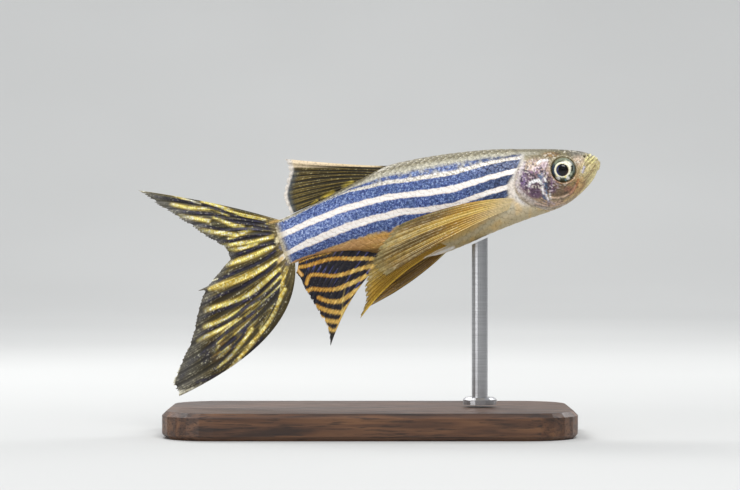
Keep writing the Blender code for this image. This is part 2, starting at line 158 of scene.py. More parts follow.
def line_distance(x, z, line, steps=36):
    """Distance of each (x, z) from the smooth line through pixels."""
    path = smooth(at_pixel(line), np.linspace(0, 1, steps))
    best = np.full(x.shape, 1e9)
    for start, run in zip(path, np.diff(path, axis=0)):
        size = max(float(run @ run), 1e-12)
        share = np.clip(((x - start[0]) * run[0] + (z - start[1]) * run[1]) / size, 0, 1)
        miss = (x - start[0] - share * run[0]) ** 2 + (z - start[1] - share * run[1]) ** 2
        best = np.minimum(best, miss)
    return np.sqrt(best)


def stroke(x, z, line, width, soft=0.5):
    """Mask that is 1 on a line of the given width in pixels and falls off at its sides and ends."""
    reach = width * PIXEL / 2
    low, high = at_pixel(line).min(0) - 3 * reach, at_pixel(line).max(0) + 3 * reach
    mask = np.zeros(x.shape)
    near = (x > low[0]) & (x < high[0]) & (z > low[1]) & (z < high[1])
    if near.any():
        distance = line_distance(x[near], z[near], line)
        mask[near] = 1 - fade(reach * (1 - soft), reach * (1 + soft), distance)
    return mask


def blob(x, z, centre, radii, soft=0.6):
    """Mask of an oval given by pixels, soft at its edge."""
    middle = at_pixel([centre])[0]
    reach = np.hypot((x - middle[0]) / (radii[0] * PIXEL), (z - middle[1]) / (radii[1] * PIXEL))
    return 1 - fade(1 - soft, 1 + soft, reach)


def flat(like, colour):
    """One colour for every point."""
    return np.ones(like.shape + (3,)) * colour


def paint(colours, *coats):
    """Colours with coats of (mask, colour) laid over them in turn."""
    for mask, colour in coats:
        colours = colours + (colour - colours) * np.clip(mask, 0, 1)[..., None]
    return colours


def shifted(line, right, down):
    """A line of pixels moved right and down."""
    return [(across + right, height + down) for across, height in line]


def value_noise(x, z, size, seed):
    """Smooth noise from 0 to 1 over a plane, with lumps of the given size."""
    source = np.random.default_rng(seed).random((NOISE_CELLS, NOISE_CELLS))
    column, row = np.asarray(x) / size, np.asarray(z) / size
    left, below = np.floor(column).astype(int), np.floor(row).astype(int)
    across, up = fade(0, 1, column - left), fade(0, 1, row - below)
    corner = [[source[(left + i) % NOISE_CELLS, (below + k) % NOISE_CELLS] for k in (0, 1)]
              for i in (0, 1)]
    low = corner[0][0] * (1 - across) + corner[1][0] * across
    high = corner[0][1] * (1 - across) + corner[1][1] * across
    return low * (1 - up) + high * up


# Body surface

def skin(station, angle):
    """Body surface at a station of the outline and an angle from the back round the left side."""
    station = np.asarray(station, float)
    t = np.maximum(station, 0) / LAST_STATION
    back, belly = smooth(BACK, t), smooth(BELLY, t)
    width = smooth(HALF_WIDTH, t)[..., 0]
    middle, half = (back + belly) / 2, (back - belly) / 2
    up, out = np.cos(angle), np.sin(angle)
    tall = signed_power(up, SECTION_TALL)
    wide = signed_power(out, SECTION_WIDE) * (1 - 0.1 * fade(-0.2, -1.0, up))
    round_off = np.clip(-station, 0, 1) * math.pi / 2
    shrink = np.cos(round_off)
    flat = middle + half * (tall * shrink)[..., None]
    x = flat[..., 0] + NOSE_LENGTH * np.sin(round_off)
    wedge = 1 - TAIL_WEDGE * fade(LAST_STATION - 0.9, LAST_STATION, station)
    return np.stack([x, width * wide * wedge * shrink + sway(x), flat[..., 1]], -1)


def skin_normal(station, angle):
    """Outward normal of the body surface."""
    step = 0.01
    ahead = skin(station + step, angle) - skin(station - step, angle)
    around = skin(station, angle + step) - skin(station, angle - step)
    normal = np.cross(ahead, around)
    size = np.linalg.norm(normal, axis=-1, keepdims=True)
    normal /= np.maximum(size, 1e-9)
    out = np.stack([0 * angle, np.sin(angle), np.cos(angle)], -1)
    return normal * np.sign((normal * out).sum(-1, keepdims=True) + 1e-12)


def on_skin(x, z, side):
    """Station and angle of the skin point seen at (x, z) from the right, -1, or the left, 1."""
    stations = np.linspace(0, LAST_STATION, 341)[:, None]
    angles = side * np.radians(np.linspace(2, 178, 177))[None, :]
    found = skin(stations + 0 * angles, angles + 0 * stations)
    miss = (found[..., 0] - x) ** 2 + (found[..., 2] - z) ** 2
    row, column = np.unravel_index(np.argmin(miss), miss.shape)
    return np.array(stations[row, 0]), np.array(angles[0, column])


def gill_station(angle):
    """Station of the gill cover's rear edge at each angle round the body."""
    turn = np.abs(np.degrees(angle))
    return (GILL_TOP + GILL_BULGE * np.exp(-((turn - GILL_TURN) / GILL_SPREAD) ** 2)
            - GILL_THROAT * fade(120, 180, turn))


def outline_height(outline, x):
    """Height of the back's or the belly's outline at x."""
    line = smooth(outline, np.linspace(0, 1, 200))
    return np.interp(x, line[::-1, 0], line[::-1, 1])


# Stripes of the body, each edge by pixels from the gill cover to the tail

LAST_PLACE = 9.0
STRIPE_EDGES = [
    [(520, 155), (507, 157), (454, 165), (400, 175), (370, 182.5), (350, 189.5), (335, 197),
     (313.6, 206), (287, 219.8)],
    [(520, 155.6), (507, 158), (454, 170), (400, 179), (370, 184.6), (350, 189.8), (335, 197.1),
     (313.6, 206.1), (287, 219.9)],
    [(520, 160), (507, 162), (454, 175.8), (400, 183.8), (370, 189), (350, 192.5), (335, 197.2),
     (313.6, 206.2), (287, 220)],
    [(520, 167), (507, 170.5), (454, 185.2), (400, 192.3), (370, 198), (335, 208.5), (313.6, 217),
     (286.8, 229)],
    [(520, 173), (507, 176.3), (454, 193.2), (400, 199.5), (370, 205.5), (335, 216), (313.6, 225),
     (286.8, 236.4)],
    [(520, 181), (507, 184.3), (454, 202.1), (400, 208.4), (370, 215.5), (335, 227), (313.6, 236.4),
     (286.8, 250.6)],
    [(520, 188), (507, 190.5), (454, 208), (400, 216.4), (370, 224), (335, 236.5), (313.6, 245.8),
     (286.8, 256.6)],
    [(520, 192), (507, 195.9), (454, 210.4), (400, 224.5), (370, 233.5), (335, 245.5),
     (313.6, 253.8), (286.8, 264.5)],
]


def station_and_level(points):
    """Station and level, 1 on the back and -1 on the belly, of (x, z) points of the side view."""
    stations = np.linspace(0, LAST_STATION, 681)
    back, belly = smooth(BACK, stations / LAST_STATION), smooth(BELLY, stations / LAST_STATION)
    middle, half = (back + belly) / 2, (back - belly) / 2
    found = []
    for x, z in points:
        offset = np.array([x, z]) - middle
        level = (offset * half).sum(1) / (half * half).sum(1)
        miss = np.linalg.norm(offset - half * level[:, None], axis=1)
        best = np.argmin(miss)
        found.append((stations[best], level[best]))
    return np.array(found)


def stripe_place(station, level):
    """Place among the stripes: 0 on the back, one more past each edge, LAST_PLACE on the belly."""
    edges = [np.ones_like(station) * 1.001]
    for line in STRIPE_EDGES:
        known = station_and_level(at_pixel(line))
        order = np.argsort(known[:, 0])
        edges.append(np.interp(station, known[order, 0], known[order, 1]))
    edges.append(-np.ones_like(station) * 1.001)
    place = np.zeros_like(station)
    for above, below in zip(edges, edges[1:]):
        place += np.clip((above - level) / np.maximum(above - below, 1e-3), 0, 1)
    return place


# Marks of the head, by pixels

MOUTH = [(599.4, 159.6), (596.5, 160.2), (592, 161.8), (587.5, 165), (584, 169), (582.4, 173)]
UPPER_LIP = [(595.6, 157.3), (593, 158.2), (588.5, 160.6), (584, 164.6), (581.2, 169.5), (580, 174)]
LOWER_LIP = [(600.5, 162.4), (597, 163.4), (592.6, 165), (588.4, 168.2), (585.6, 172), (584.6, 176)]
FOLD_LIP = [(585.1, 154.6), (586.3, 158.2), (583, 162.6), (580.6, 167.5), (579.2, 173), (578, 177)]
CHEEK_LINE = [(573.9, 185.9), (572.3, 190), (568.8, 193.6), (563, 196.1), (556.5, 197.7),
              (549.4, 197.3)]
JAW_LINE = [(582, 178), (578, 187), (570, 197), (560, 203), (550, 206)]
BEHIND_EYE = [(549.4, 180.8), (556.5, 184.6), (565.7, 184.4), (573.4, 178.8), (576, 171)]
PREOPERCLE = [(545.5, 163), (542.5, 172), (541.5, 182), (542.5, 192), (547, 200), (553, 203.5)]
BRANCHIOSTEGAL = [(566, 203), (556, 205.5), (546, 206.3), (537, 204.5)]
COVER_RIM = [(522, 163), (519, 172), (515.8, 181), (516.3, 188), (522, 195.6), (533, 203),
             (544, 208)]
COVER_FLASH = [
    ([(527.4, 186.6), (528.8, 183.7), (532.6, 181.9)], 2.0),
    ([(532, 182), (536.8, 180.8)], 2.6),
    ([(537, 181), (539.8, 184.2)], 1.9),
    ([(540.6, 187), (541.8, 193.4)], 1.6),
    ([(542.6, 178.5), (544, 181.5)], 1.5),
    ([(544.5, 195), (546.5, 199)], 1.6),
    ([(548.4, 194), (549.4, 198.5)], 1.4),
]
NOSTRILS = [(587.2, 156.6), (583.6, 156.9)]
NOSE_FOLDS = [
    ((590.1, 154.6), (583.9, 161.6)),
    ((593.4, 157), (587.7, 162.2)),
    ((596.3, 159), (591, 162.8)),
]
NOSE_SLITS = [
    ((588.6, 157.4), (586.2, 160.4)),
    ((592.4, 158.6), (590, 161)),
    ((595, 160.6), (593, 162.2)),
]


# Folds and grooves of the head: line, height in millimetres, width in pixels and softness
HEAD_FOLDS = [
    (UPPER_LIP, 0.07, 3.2, 0.9),
    (LOWER_LIP, 0.03, 3.6, 0.9),
    (MOUTH, -0.1, 1.3, 0.8),
    *[(fold, 0.07, 1.6, 0.9) for fold in NOSE_FOLDS],
    (FOLD_LIP, 0.09, 1.9, 0.9),
    (CHEEK_LINE, 0.05, 2.0, 0.9),
    (JAW_LINE, 0.04, 2.0, 0.9),
    (BEHIND_EYE, 0.05, 2.0, 0.9),
    (PREOPERCLE, 0.07, 3.0, 0.9),
    (BRANCHIOSTEGAL, 0.05, 2.0, 0.9),
    (shifted(BRANCHIOSTEGAL, -3, 2), -0.05, 1.6, 0.9),
]


def head_relief(x, z, station):
    """Height of the head's folds, lines and hollows over the plain surface, in millimetres."""
    height = np.zeros(x.shape)
    for line, rise, width, soft in HEAD_FOLDS:
        height += rise * stroke(x, z, line, width, soft)
    for nostril in NOSTRILS:
        height += 0.06 * blob(x, z, nostril, (2.4, 2.2), 0.5)
        height -= 0.3 * blob(x, z, nostril, (1.1, 1.0), 0.4)
    return height * (1 - fade(5.6, 6.4, station))


def eye_relief(x, z, station):
    """The eye's socket and the thin rim of skin round it."""
    reach = np.hypot(x - EYE_CENTRE[0], z - EYE_CENTRE[1])
    hollow = -SOCKET_DEPTH * (1 - fade(EYE_RADIUS - 0.07, EYE_RADIUS + 0.04, reach))
    rim = SOCKET_RIM * np.exp(-((reach - EYE_RADIUS - 0.14) / 0.09) ** 2)
    return (hollow + rim) * (station < 6)


def cover_swell(station, angle):
    """How far the gill cover stands out at the head's sides, towards its rear edge."""
    side = np.exp(-((np.abs(np.degrees(angle)) - COVER_TURN) / COVER_SPREAD) ** 2)
    return COVER_STEP * fade(2.6, 4.8, station) * side


# Colours of the skin under its stripes

def body_tint(x, z, level, place):
    """Colour of back, flank between stripes and belly."""
    draw = partial(stroke, x, z)
    noise = value_noise(x, z, 0.5, 3)
    tint = flat(x, rgb(164, 155, 124))
    tint = paint(
        tint,
        (fade(0.6, 1.0, level), rgb(130, 122, 98)),
        (fade(0.35, 0.75, place) * (place < 2.2), rgb(192, 187, 168)),
        (fade(1.0, 1.4, place) * fade(1.5, -1.5, x) * (place < 3.2), rgb(160, 154, 120)))
    low = fade(7.9, 8.2, place)
    belly = flat(x, rgb(212, 160, 78))
    belly = paint(
        belly,
        (fade(4.0, 9.0, x), rgb(206, 172, 96)),
        (fade(10.5, 14.0, x), rgb(214, 190, 142)),
        (fade(13.0, 17.0, x), rgb(224, 208, 178)),
        (fade(1.5, -3.5, x), rgb(206, 160, 112)),
        (fade(-0.55, -0.98, level) * fade(-2, 4, x) * 0.75, rgb(176, 160, 116)),
        (fade(0.4, 0.8, noise) * 0.4, rgb(222, 182, 106)),
        (draw([(419, 238), (400, 244.5), (381, 250.5), (360, 252), (335, 254)], 5) * 0.7,
         rgb(92, 74, 44)),
        (draw([(425, 231), (400, 236), (375, 241.5), (345, 247), (320, 253)], 3.6, 0.9)
         * (0.35 + 0.5 * noise), rgb(232, 184, 124)),
        (draw([(512, 208), (490, 222), (468, 236), (452, 243.5), (440, 247)], 5, 0.9) * 0.6,
         rgb(182, 176, 150)),
        # Painted highlight: a white line along the belly's edge, running on to the belly fin.
        (draw([(453, 247.5), (440, 252.5), (426, 258.5)], 2.8, 0.8) * 0.9, rgb(250, 250, 246)))
    return tint + (belly - tint) * low[..., None]


HEAD_PATCHES = [
    ((578, 153.5), (9, 4.5), rgb(140, 136, 124), 1.0),
    ((550, 155), (7.5, 2.4), rgb(168, 122, 66), 0.75),
    # Partly painted light: the lower jaw's own tan, lightened further to stand in for light from
    # below.
    ((592, 170), (12, 14), rgb(216, 200, 142), 1.0),
    ((577.5, 161), (5.5, 5), rgb(210, 184, 160), 0.8),
    ((577, 187), (7, 9), rgb(204, 156, 86), 0.8),
    ((560, 189), (15, 9.5), rgb(98, 74, 50), 0.95),
    ((571, 184), (6, 4.5), rgb(152, 128, 82), 0.8),
    ((567, 189), (4.5, 2.6), rgb(180, 114, 94), 0.6),
    ((551, 188), (6, 5.5), rgb(86, 52, 62), 0.65),
    ((552, 202), (16, 4.5), rgb(146, 126, 102), 0.75),
    ((541, 171), (8, 10), rgb(190, 160, 156), 0.75),
    ((531, 165), (10, 7), rgb(188, 160, 132), 0.7),
    ((530.5, 184), (13, 13), rgb(100, 66, 104), 0.95),
    ((546, 184), (6, 9), rgb(92, 68, 82), 0.8),
    ((533.5, 189.5), (6.5, 6), rgb(76, 42, 72), 0.85),
    ((522, 181), (3.6, 8), rgb(126, 104, 158), 0.8),
]


def head_tint(x, z, level):
    """Colour of the head: olive crown, tan jaw, brown cheek and the violet gill patch."""
    draw, dot = partial(stroke, x, z), partial(blob, x, z)
    mottle = value_noise(x, z, 0.34, 5)
    fine = value_noise(x, z, 0.18, 8)
    grit = value_noise(x, z, 0.13, 19)
    dots = value_noise(x, z, 0.16, 23)
    tint = paint(
        flat(x, rgb(178, 154, 114)),
        (fade(0.35, 0.8, level), rgb(134, 124, 92)),
        (fade(0.85, 1.0, level), rgb(120, 114, 90)))
    for centre, radii, colour, strength in HEAD_PATCHES:
        tint = paint(tint, (dot(centre, radii) * strength * (0.75 + 0.25 * mottle), colour))
    patch = dot((533, 178), (16, 15), 0.4)
    patch = np.maximum(patch, 0.8 * dot((547, 184), (9, 9), 0.4))
    tint = paint(
        tint,
        (patch * fade(0.5, 0.75, mottle) * 0.6, rgb(136, 100, 142)),
        (patch * fade(0.46, 0.68, grit) * 0.95, rgb(40, 24, 60)),
        (patch * fade(0.66, 0.8, fine) * 0.85, rgb(232, 212, 222)),
        (draw([(536.4, 164.4), (540, 161.6), (546, 161)], 2.5, 0.7), rgb(246, 240, 242)),
        (dot((543.5, 165.5), (3.4, 3.0)) * 0.45, rgb(206, 182, 196)),
        (dot((530, 168), (3, 3)) * 0.6 * fade(0.3, 0.6, fine), rgb(240, 214, 202)),
        (draw([(539, 176), (543.5, 186), (543.5, 196), (546, 203)], 5.5) * fade(0.3, 0.6, fine),
         rgb(92, 112, 146)),
        (draw([(544, 178), (546, 188), (546.5, 200)], 4) * fade(0.5, 0.65, mottle) * 0.85,
         rgb(52, 56, 76)),
        (dot((534.2, 189.4), (4.8, 4.2), 0.4) * 0.85, rgb(78, 50, 78)),
        (dot((535.5, 195.4), (6.5, 3), 0.4) * 0.8, rgb(84, 52, 90)))
    for line, width in COVER_FLASH:
        glint = draw(line, width * 1.3, 0.5) * (0.86 + 0.14 * fade(0.25, 0.5, fine))
        tint = paint(tint, (glint, rgb(254, 252, 252)))
    tint = paint(
        tint,
        (draw(COVER_RIM, 4.6, 0.7) * (0.55 + 0.35 * mottle), rgb(214, 204, 208)),
        (draw([(518, 197), (530, 204), (545, 209), (560, 206)], 7) * 0.7, rgb(186, 172, 156)),
        (draw(CHEEK_LINE, 1.7) * 0.8, rgb(226, 192, 166)),
        # Painted shadow: a dark line just above the pale cheek fold.
        (draw(shifted(CHEEK_LINE, -0.6, -2.4), 2.0) * 0.5, rgb(104, 78, 58)),
        (draw(JAW_LINE, 2.2) * 0.5, rgb(222, 184, 124)),
        # Painted shade: a dark line just under the jaw's fold line.
        (draw(shifted(JAW_LINE, 2.5, 3), 1.6) * 0.5, rgb(122, 98, 62)),
        (draw([(577, 180), (574.5, 187), (569, 194)], 2.4) * 0.6, rgb(180, 104, 60)))
    for k in range(3):
        crease = [(540 - 3 * k, 198 + 2.6 * k), (549, 202.6 + 1.6 * k),
                  (561 + 2 * k, 200.5 + 1.4 * k)]
        tint = paint(
            tint,
            (draw(crease, 1.2) * 0.6, rgb(214, 178, 156)),
            # Painted shade: a dark line just under each pale crease line.
            (draw(shifted(crease, 0, 1.3), 1.2) * 0.5, rgb(98, 80, 66)))
    tint = paint(
        tint,
        (draw(PREOPERCLE, 2.4) * 0.4, rgb(206, 188, 198)),
        (draw(UPPER_LIP, 2.2) * 0.4, rgb(206, 194, 146)),
        (draw(FOLD_LIP, 1.5, 0.8) * 0.5, rgb(222, 206, 160)),
        (draw([(583, 167.6), (581.4, 172.4)], 2.6), rgb(226, 220, 236)),
        (draw([(597.8, 166), (595.4, 173), (588, 184.5)], 2.1) * 0.9, rgb(240, 232, 180)),
        (draw([(597.6, 168), (594, 176), (587, 186.5), (578.5, 195.5)], 3.2, 0.8) * 0.8,
         rgb(234, 216, 152)),
        # Painted shade: the mouth's cleft darkened.
        (draw(MOUTH, 1.2, 0.8) * 0.4, rgb(92, 82, 56)))
    for row in (0, 1):
        for k in range(6):
            spot = (584.6 + 1.7 * k - 1.5 * row, 177.6 - 2.2 * k + 4.4 * row)
            tint = paint(tint,
                         (draw([spot, (spot[0] + 1.4, spot[1] - 1.1)], 1.1) * 0.6,
                          rgb(112, 72, 44)))
    snout = fade(578, 585, x / PIXEL + FRAME_WIDTH / 2)
    speckled = fade(-1.0, -0.75, level)
    tint = paint(
        tint,
        (fade(0.6, 0.8, grit) * speckled * (0.5 - 0.25 * snout), rgb(66, 56, 48)),
        (fade(0.66, 0.84, dots) * fade(-0.55, -0.2, level) * (0.6 - 0.4 * snout),
         rgb(238, 230, 212)))
    # Painted shade: dark lines in the slits between the snout's folds.
    for start, end in NOSE_SLITS:
        tint = paint(tint, (draw([start, end], 1.1, 0.7) * 0.7, rgb(84, 76, 52)))
    for start, end in NOSE_FOLDS:
        tint = paint(tint, (draw([start, end], 1.5, 0.7), rgb(240, 230, 160)))
    # Painted shade: dark nostril openings.
    for spot in NOSTRILS:
        tint = paint(tint, (dot(spot, (1.1, 0.9), 0.3) * 0.85, rgb(60, 52, 38)))
    for spot in ((520.5, 203.5), (524, 206.5), (518.5, 207.5)):
        tint = paint(tint, (dot(spot, (1.7, 1.6), 0.4) * 0.75, rgb(78, 76, 76)))
    rim = np.hypot(x - EYE_CENTRE[0], z - EYE_CENTRE[1])
    under = fade(0.3, -0.8, (z - EYE_CENTRE[1]) / EYE_RADIUS)[..., None]
    lid = rgb(172, 164, 132) * (1 - under) + rgb(206, 150, 108) * under
    return paint(
        tint,
        (np.exp(-((rim - EYE_RADIUS - 0.12) / 0.06) ** 2) * (0.15 + 0.5 * fine), lid),
        # Painted shade: dark skin inside the eye's socket, round the ball.
        (1 - fade(EYE_RADIUS - 0.04, EYE_RADIUS + 0.07, rim), rgb(46, 38, 28)),
        (fade(-0.93, -1.0, level) * 0.5, rgb(196, 178, 140)))


TAIL_ROOT_MARKS = [
    ([(284, 222), (278, 225)], 6.0, rgb(96, 100, 136), 0.4),
    ([(288, 243.5), (282, 247)], 6.5, rgb(110, 122, 164), 0.5),
    ([(292, 259.5), (287, 263.5)], 5.0, rgb(112, 112, 132), 0.4),
    ([(284, 234.5), (280, 236.5), (275.5, 242), (272, 248), (266, 254)], 4.4, rgb(238, 226, 184),
     0.95),
    ([(288, 253.5), (285, 255.2), (281.5, 258)], 4.6, rgb(248, 238, 220), 0.95),
    ([(282, 258), (276, 263.5), (270, 270)], 3.0, rgb(226, 196, 132), 0.85),
    ([(283, 220), (276, 221), (270, 222.5)], 2.6, rgb(214, 176, 104), 0.7),
]


def tail_root_tint(colours, x, z, share):
    """The ends of the stripes, which run from the body on to the roots of the tail fin's rays."""
    colours = paint(colours, (share * 0.35, rgb(178, 156, 104)))
    for line, width, colour, strength in TAIL_ROOT_MARKS:
        colours = paint(colours,
                        (stroke(x, z, line, width, 0.5) * fade(0, 0.5, share) * strength, colour))
    return colours


def skin_colours(points, station, angle):
    """Tint, stripe place and how far stripes show, for points of the skin."""
    level = signed_power(np.cos(angle), SECTION_TALL)
    x, z = points[..., 0], points[..., 2]
    place = stripe_place(station, level)
    high = fade(0.0, 0.4, level)
    past = station - gill_station(angle)
    behind = fade(0.0, 0.28 - 0.16 * high, past - 0.12 + 0.1 * high)
    tint = body_tint(x, z, level, place)
    pale_rim = np.exp(-((past - 0.12 + 0.1 * high) / (0.16 - 0.08 * high)) ** 2)
    pale_rim = pale_rim * fade(-0.75, -0.5, level) * fade(0.92, 0.7, level)
    tint = paint(tint, (pale_rim * 0.9, rgb(232, 226, 222)))
    collar = blob(x, z, (510.5, 190), (4.0, 9), 0.4)
    tint = paint(tint, (collar * 0.9, rgb(238, 226, 214)))
    collar = np.maximum(collar, 0.7 * blob(x, z, (515.5, 180), (2.2, 5), 0.5))
    turn = np.abs(np.degrees(angle))
    nape = 1.6 * (1 - fade(30, 62, turn))
    head = 1 - fade(-0.03 - nape, 0.03 + nape * 0.3, past)
    tint = tint + (head_tint(x, z, level) - tint) * head[..., None]
    tail_end = fade(LAST_STATION - 0.75, LAST_STATION - 0.05, station)
    tint = paint(tint, (tail_end, rgb(204, 186, 132)))
    behind = behind * (1 - 0.75 * tail_end)
    deep = fade(8.5, 15.5, x) * (0.85 + 0.15 * fade(3.5, 7.5, place))
    light = fade(3.0, -5.0, x) * fade(2.0, 5.0, place) * (1 - 0.7 * fade(5.4, 6.4, place))
    return tint, place, behind * (1 - collar), deep - light


# Meshes

def in_metres(points):
    """Points in millimetres from the fish's middle, in metres from the underside of the base."""
    return (points + (0, 0, LIFT)) * MM


def add_object(name, mesh, material, tint=None, values=None):
    """Smooth object of a mesh, with a colour and named values at each of its points."""
    if tint is not None:
        four = np.ones((len(mesh.vertices), 4), np.float32)
        four[:, :3] = np.reshape(tint, (-1, 3))
        layer = mesh.attributes.new("tint", "FLOAT_COLOR", "POINT")
        layer.data.foreach_set("color", four.ravel())
    for attribute, data in (values or {}).items():
        layer = mesh.attributes.new(attribute, "FLOAT", "POINT")
        layer.data.foreach_set("value", np.asarray(data, np.float32).ravel())
    mesh.shade_smooth()
    mesh.materials.append(material)
    made = bpy.data.objects.new(name, mesh)
    bpy.context.scene.collection.objects.link(made)
    return made


def make_mesh(name, points, quads, material, tint, values=None, uv=None):
    """Smooth object from points in millimetres and four-cornered faces."""
    points = np.asarray(points, float).reshape(-1, 3)
    quads = np.asarray(quads, np.int32)
    mesh = bpy.data.meshes.new(name)
    mesh.vertices.add(len(points))
    mesh.vertices.foreach_set("co", in_metres(points).astype(np.float32).ravel())
    mesh.loops.add(quads.size)
    mesh.loops.foreach_set("vertex_index", quads.ravel())
    mesh.polygons.add(len(quads))
    mesh.polygons.foreach_set("loop_start", np.arange(0, quads.size, 4, dtype=np.int32))
    mesh.update(calc_edges=True)
    if uv is not None:
        corners = np.asarray(uv, np.float32).reshape(-1, 2)[quads.ravel()]
        mesh.uv_layers.new(name="OFBake").data.foreach_set("uv", corners.ravel())
    mesh.validate()
    return add_object(name, mesh, material, tint, values)


def grid_quads(rows, columns, wrap=False, start=0, flip=False):
    """Faces of a grid of points held row by row."""
    row, column = np.meshgrid(np.arange(rows - 1), np.arange(columns if wrap else columns - 1),
                              indexing="ij")
    after = (column + 1) % columns
    a = start + row * columns + column
    b = start + row * columns + after
    quads = np.stack([a, b, b + columns, a + columns], -1).reshape(-1, 4)
    return quads[:, ::-1] if flip else quads


def slab_quads(rows, columns):
    """Faces of a grid, of the same grid behind it and of the rim between the two."""
    count = rows * columns
    loop = np.concatenate([np.arange(columns), np.arange(1, rows) * columns + columns - 1,
                           (rows - 1) * columns + np.arange(columns - 2, -1, -1),
                           np.arange(rows - 2, 0, -1) * columns])
    after = np.roll(loop, -1)
    rim = np.stack([loop, after, after + count, loop + count], -1)
    return np.vstack([grid_quads(rows, columns, flip=True),
                      grid_quads(rows, columns, start=count), rim])


def add_skin(material):
    """One closed skin over head, trunk and tail, finest on the head."""
    columns = SKIN_COLUMNS
    angles = np.linspace(-math.pi, math.pi, columns, endpoint=False)
    share = np.concatenate([np.linspace(-0.98, 0, NOSE_ROWS + 1)[:-1],
                            np.linspace(0, 1, HEAD_ROWS + 1)[:-1], np.linspace(1, 2, BODY_ROWS)])
    gill = gill_station(angles)[None, :]
    s = share[:, None]
    station = np.where(s < 0, s, np.where(s < 1, s * gill, gill + (s - 1) * (LAST_STATION - gill)))
    angle = angles[None, :] + 0 * station
    surface = skin(station, angle)
    normal = skin_normal(np.maximum(station, 0.02), angle)
    nose = np.array([1.0, 0, 0])
    blend = np.clip(-station, 0, 1)[..., None]
    normal = normal * (1 - blend) + nose * blend
    normal /= np.linalg.norm(normal, axis=-1, keepdims=True)
    x, z = surface[..., 0], surface[..., 2]
    in_head = 1 - fade(-0.02, 0.05, station - gill)
    height = head_relief(x, z, station) * in_head + eye_relief(x, z, station)
    height += cover_swell(station, angle) * in_head
    cheek = fade(40, 65, np.abs(np.degrees(angle)))
    height -= 0.05 * cheek * np.exp(-((station - gill - 0.06) / 0.05) ** 2)
    points = surface + normal * height[..., None]
    tint, place, shown, deep = skin_colours(surface, station, angle)
    tip = skin(np.array([-1.0]), np.array([0.0]))
    end = points[-1].mean(0, keepdims=True) - (0.15, 0, 0.05)
    rows = len(share)
    every = np.arange(columns)
    after = (every + 1) % columns
    last = (rows - 1) * columns
    total = rows * columns
    caps = [(total, b, a) for a, b in zip(every, after)]
    caps += [(total + 1, last + a, last + b) for a, b in zip(every, after)]
    mesh = bpy.data.meshes.new("fish_skin")
    mesh.from_pydata(in_metres(np.vstack([points.reshape(-1, 3), tip, end])).tolist(), [],
                     grid_quads(rows, columns, wrap=True).tolist() + caps)
    made = add_object("fish_skin", mesh, material,
                      np.vstack([tint.reshape(-1, 3), tint[0].mean(0), tint[-1].mean(0)]),
                      {"place": np.append(place.ravel(), [place[0].mean(), place[-1].mean()]),
                       "stripes": np.append(shown.ravel(), [0, 0]),
                       "deep": np.append(deep.ravel(), [0, 0])})
    face_outward(made)
    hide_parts("head", "trunk", "tail_stem")


def face_outward(piece):
    """Turns a closed piece's faces round if they face in."""
    mesh = piece.data
    mesh.calc_loop_triangles()
    points = np.empty(len(mesh.vertices) * 3)
    mesh.vertices.foreach_get("co", points)
    corners = np.empty(len(mesh.loop_triangles) * 3, np.int32)
    mesh.loop_triangles.foreach_get("vertices", corners)
    if np.linalg.det(points.reshape(-1, 3)[corners.reshape(-1, 3)]).sum() < 0:
        mesh.flip_normals()


# Scales

SCALE_PITCH = 0.98
SCALE_ROW = 0.82
SCALE_LENGTH = 1.45
SCALE_LIFT = 0.048
SCALE_SINK = 0.03
SCALE_THICKNESS = 0.035
SCALE_GRID = (9, 8)
SCALE_SEED = {-1: 7, 1: 11}
SCALE_PATCH = 0.003
SCALE_UNEVEN = 0.04
SCALE_SHADES = 0.06
BODY_STEPS = 400
RING_STEPS = 60


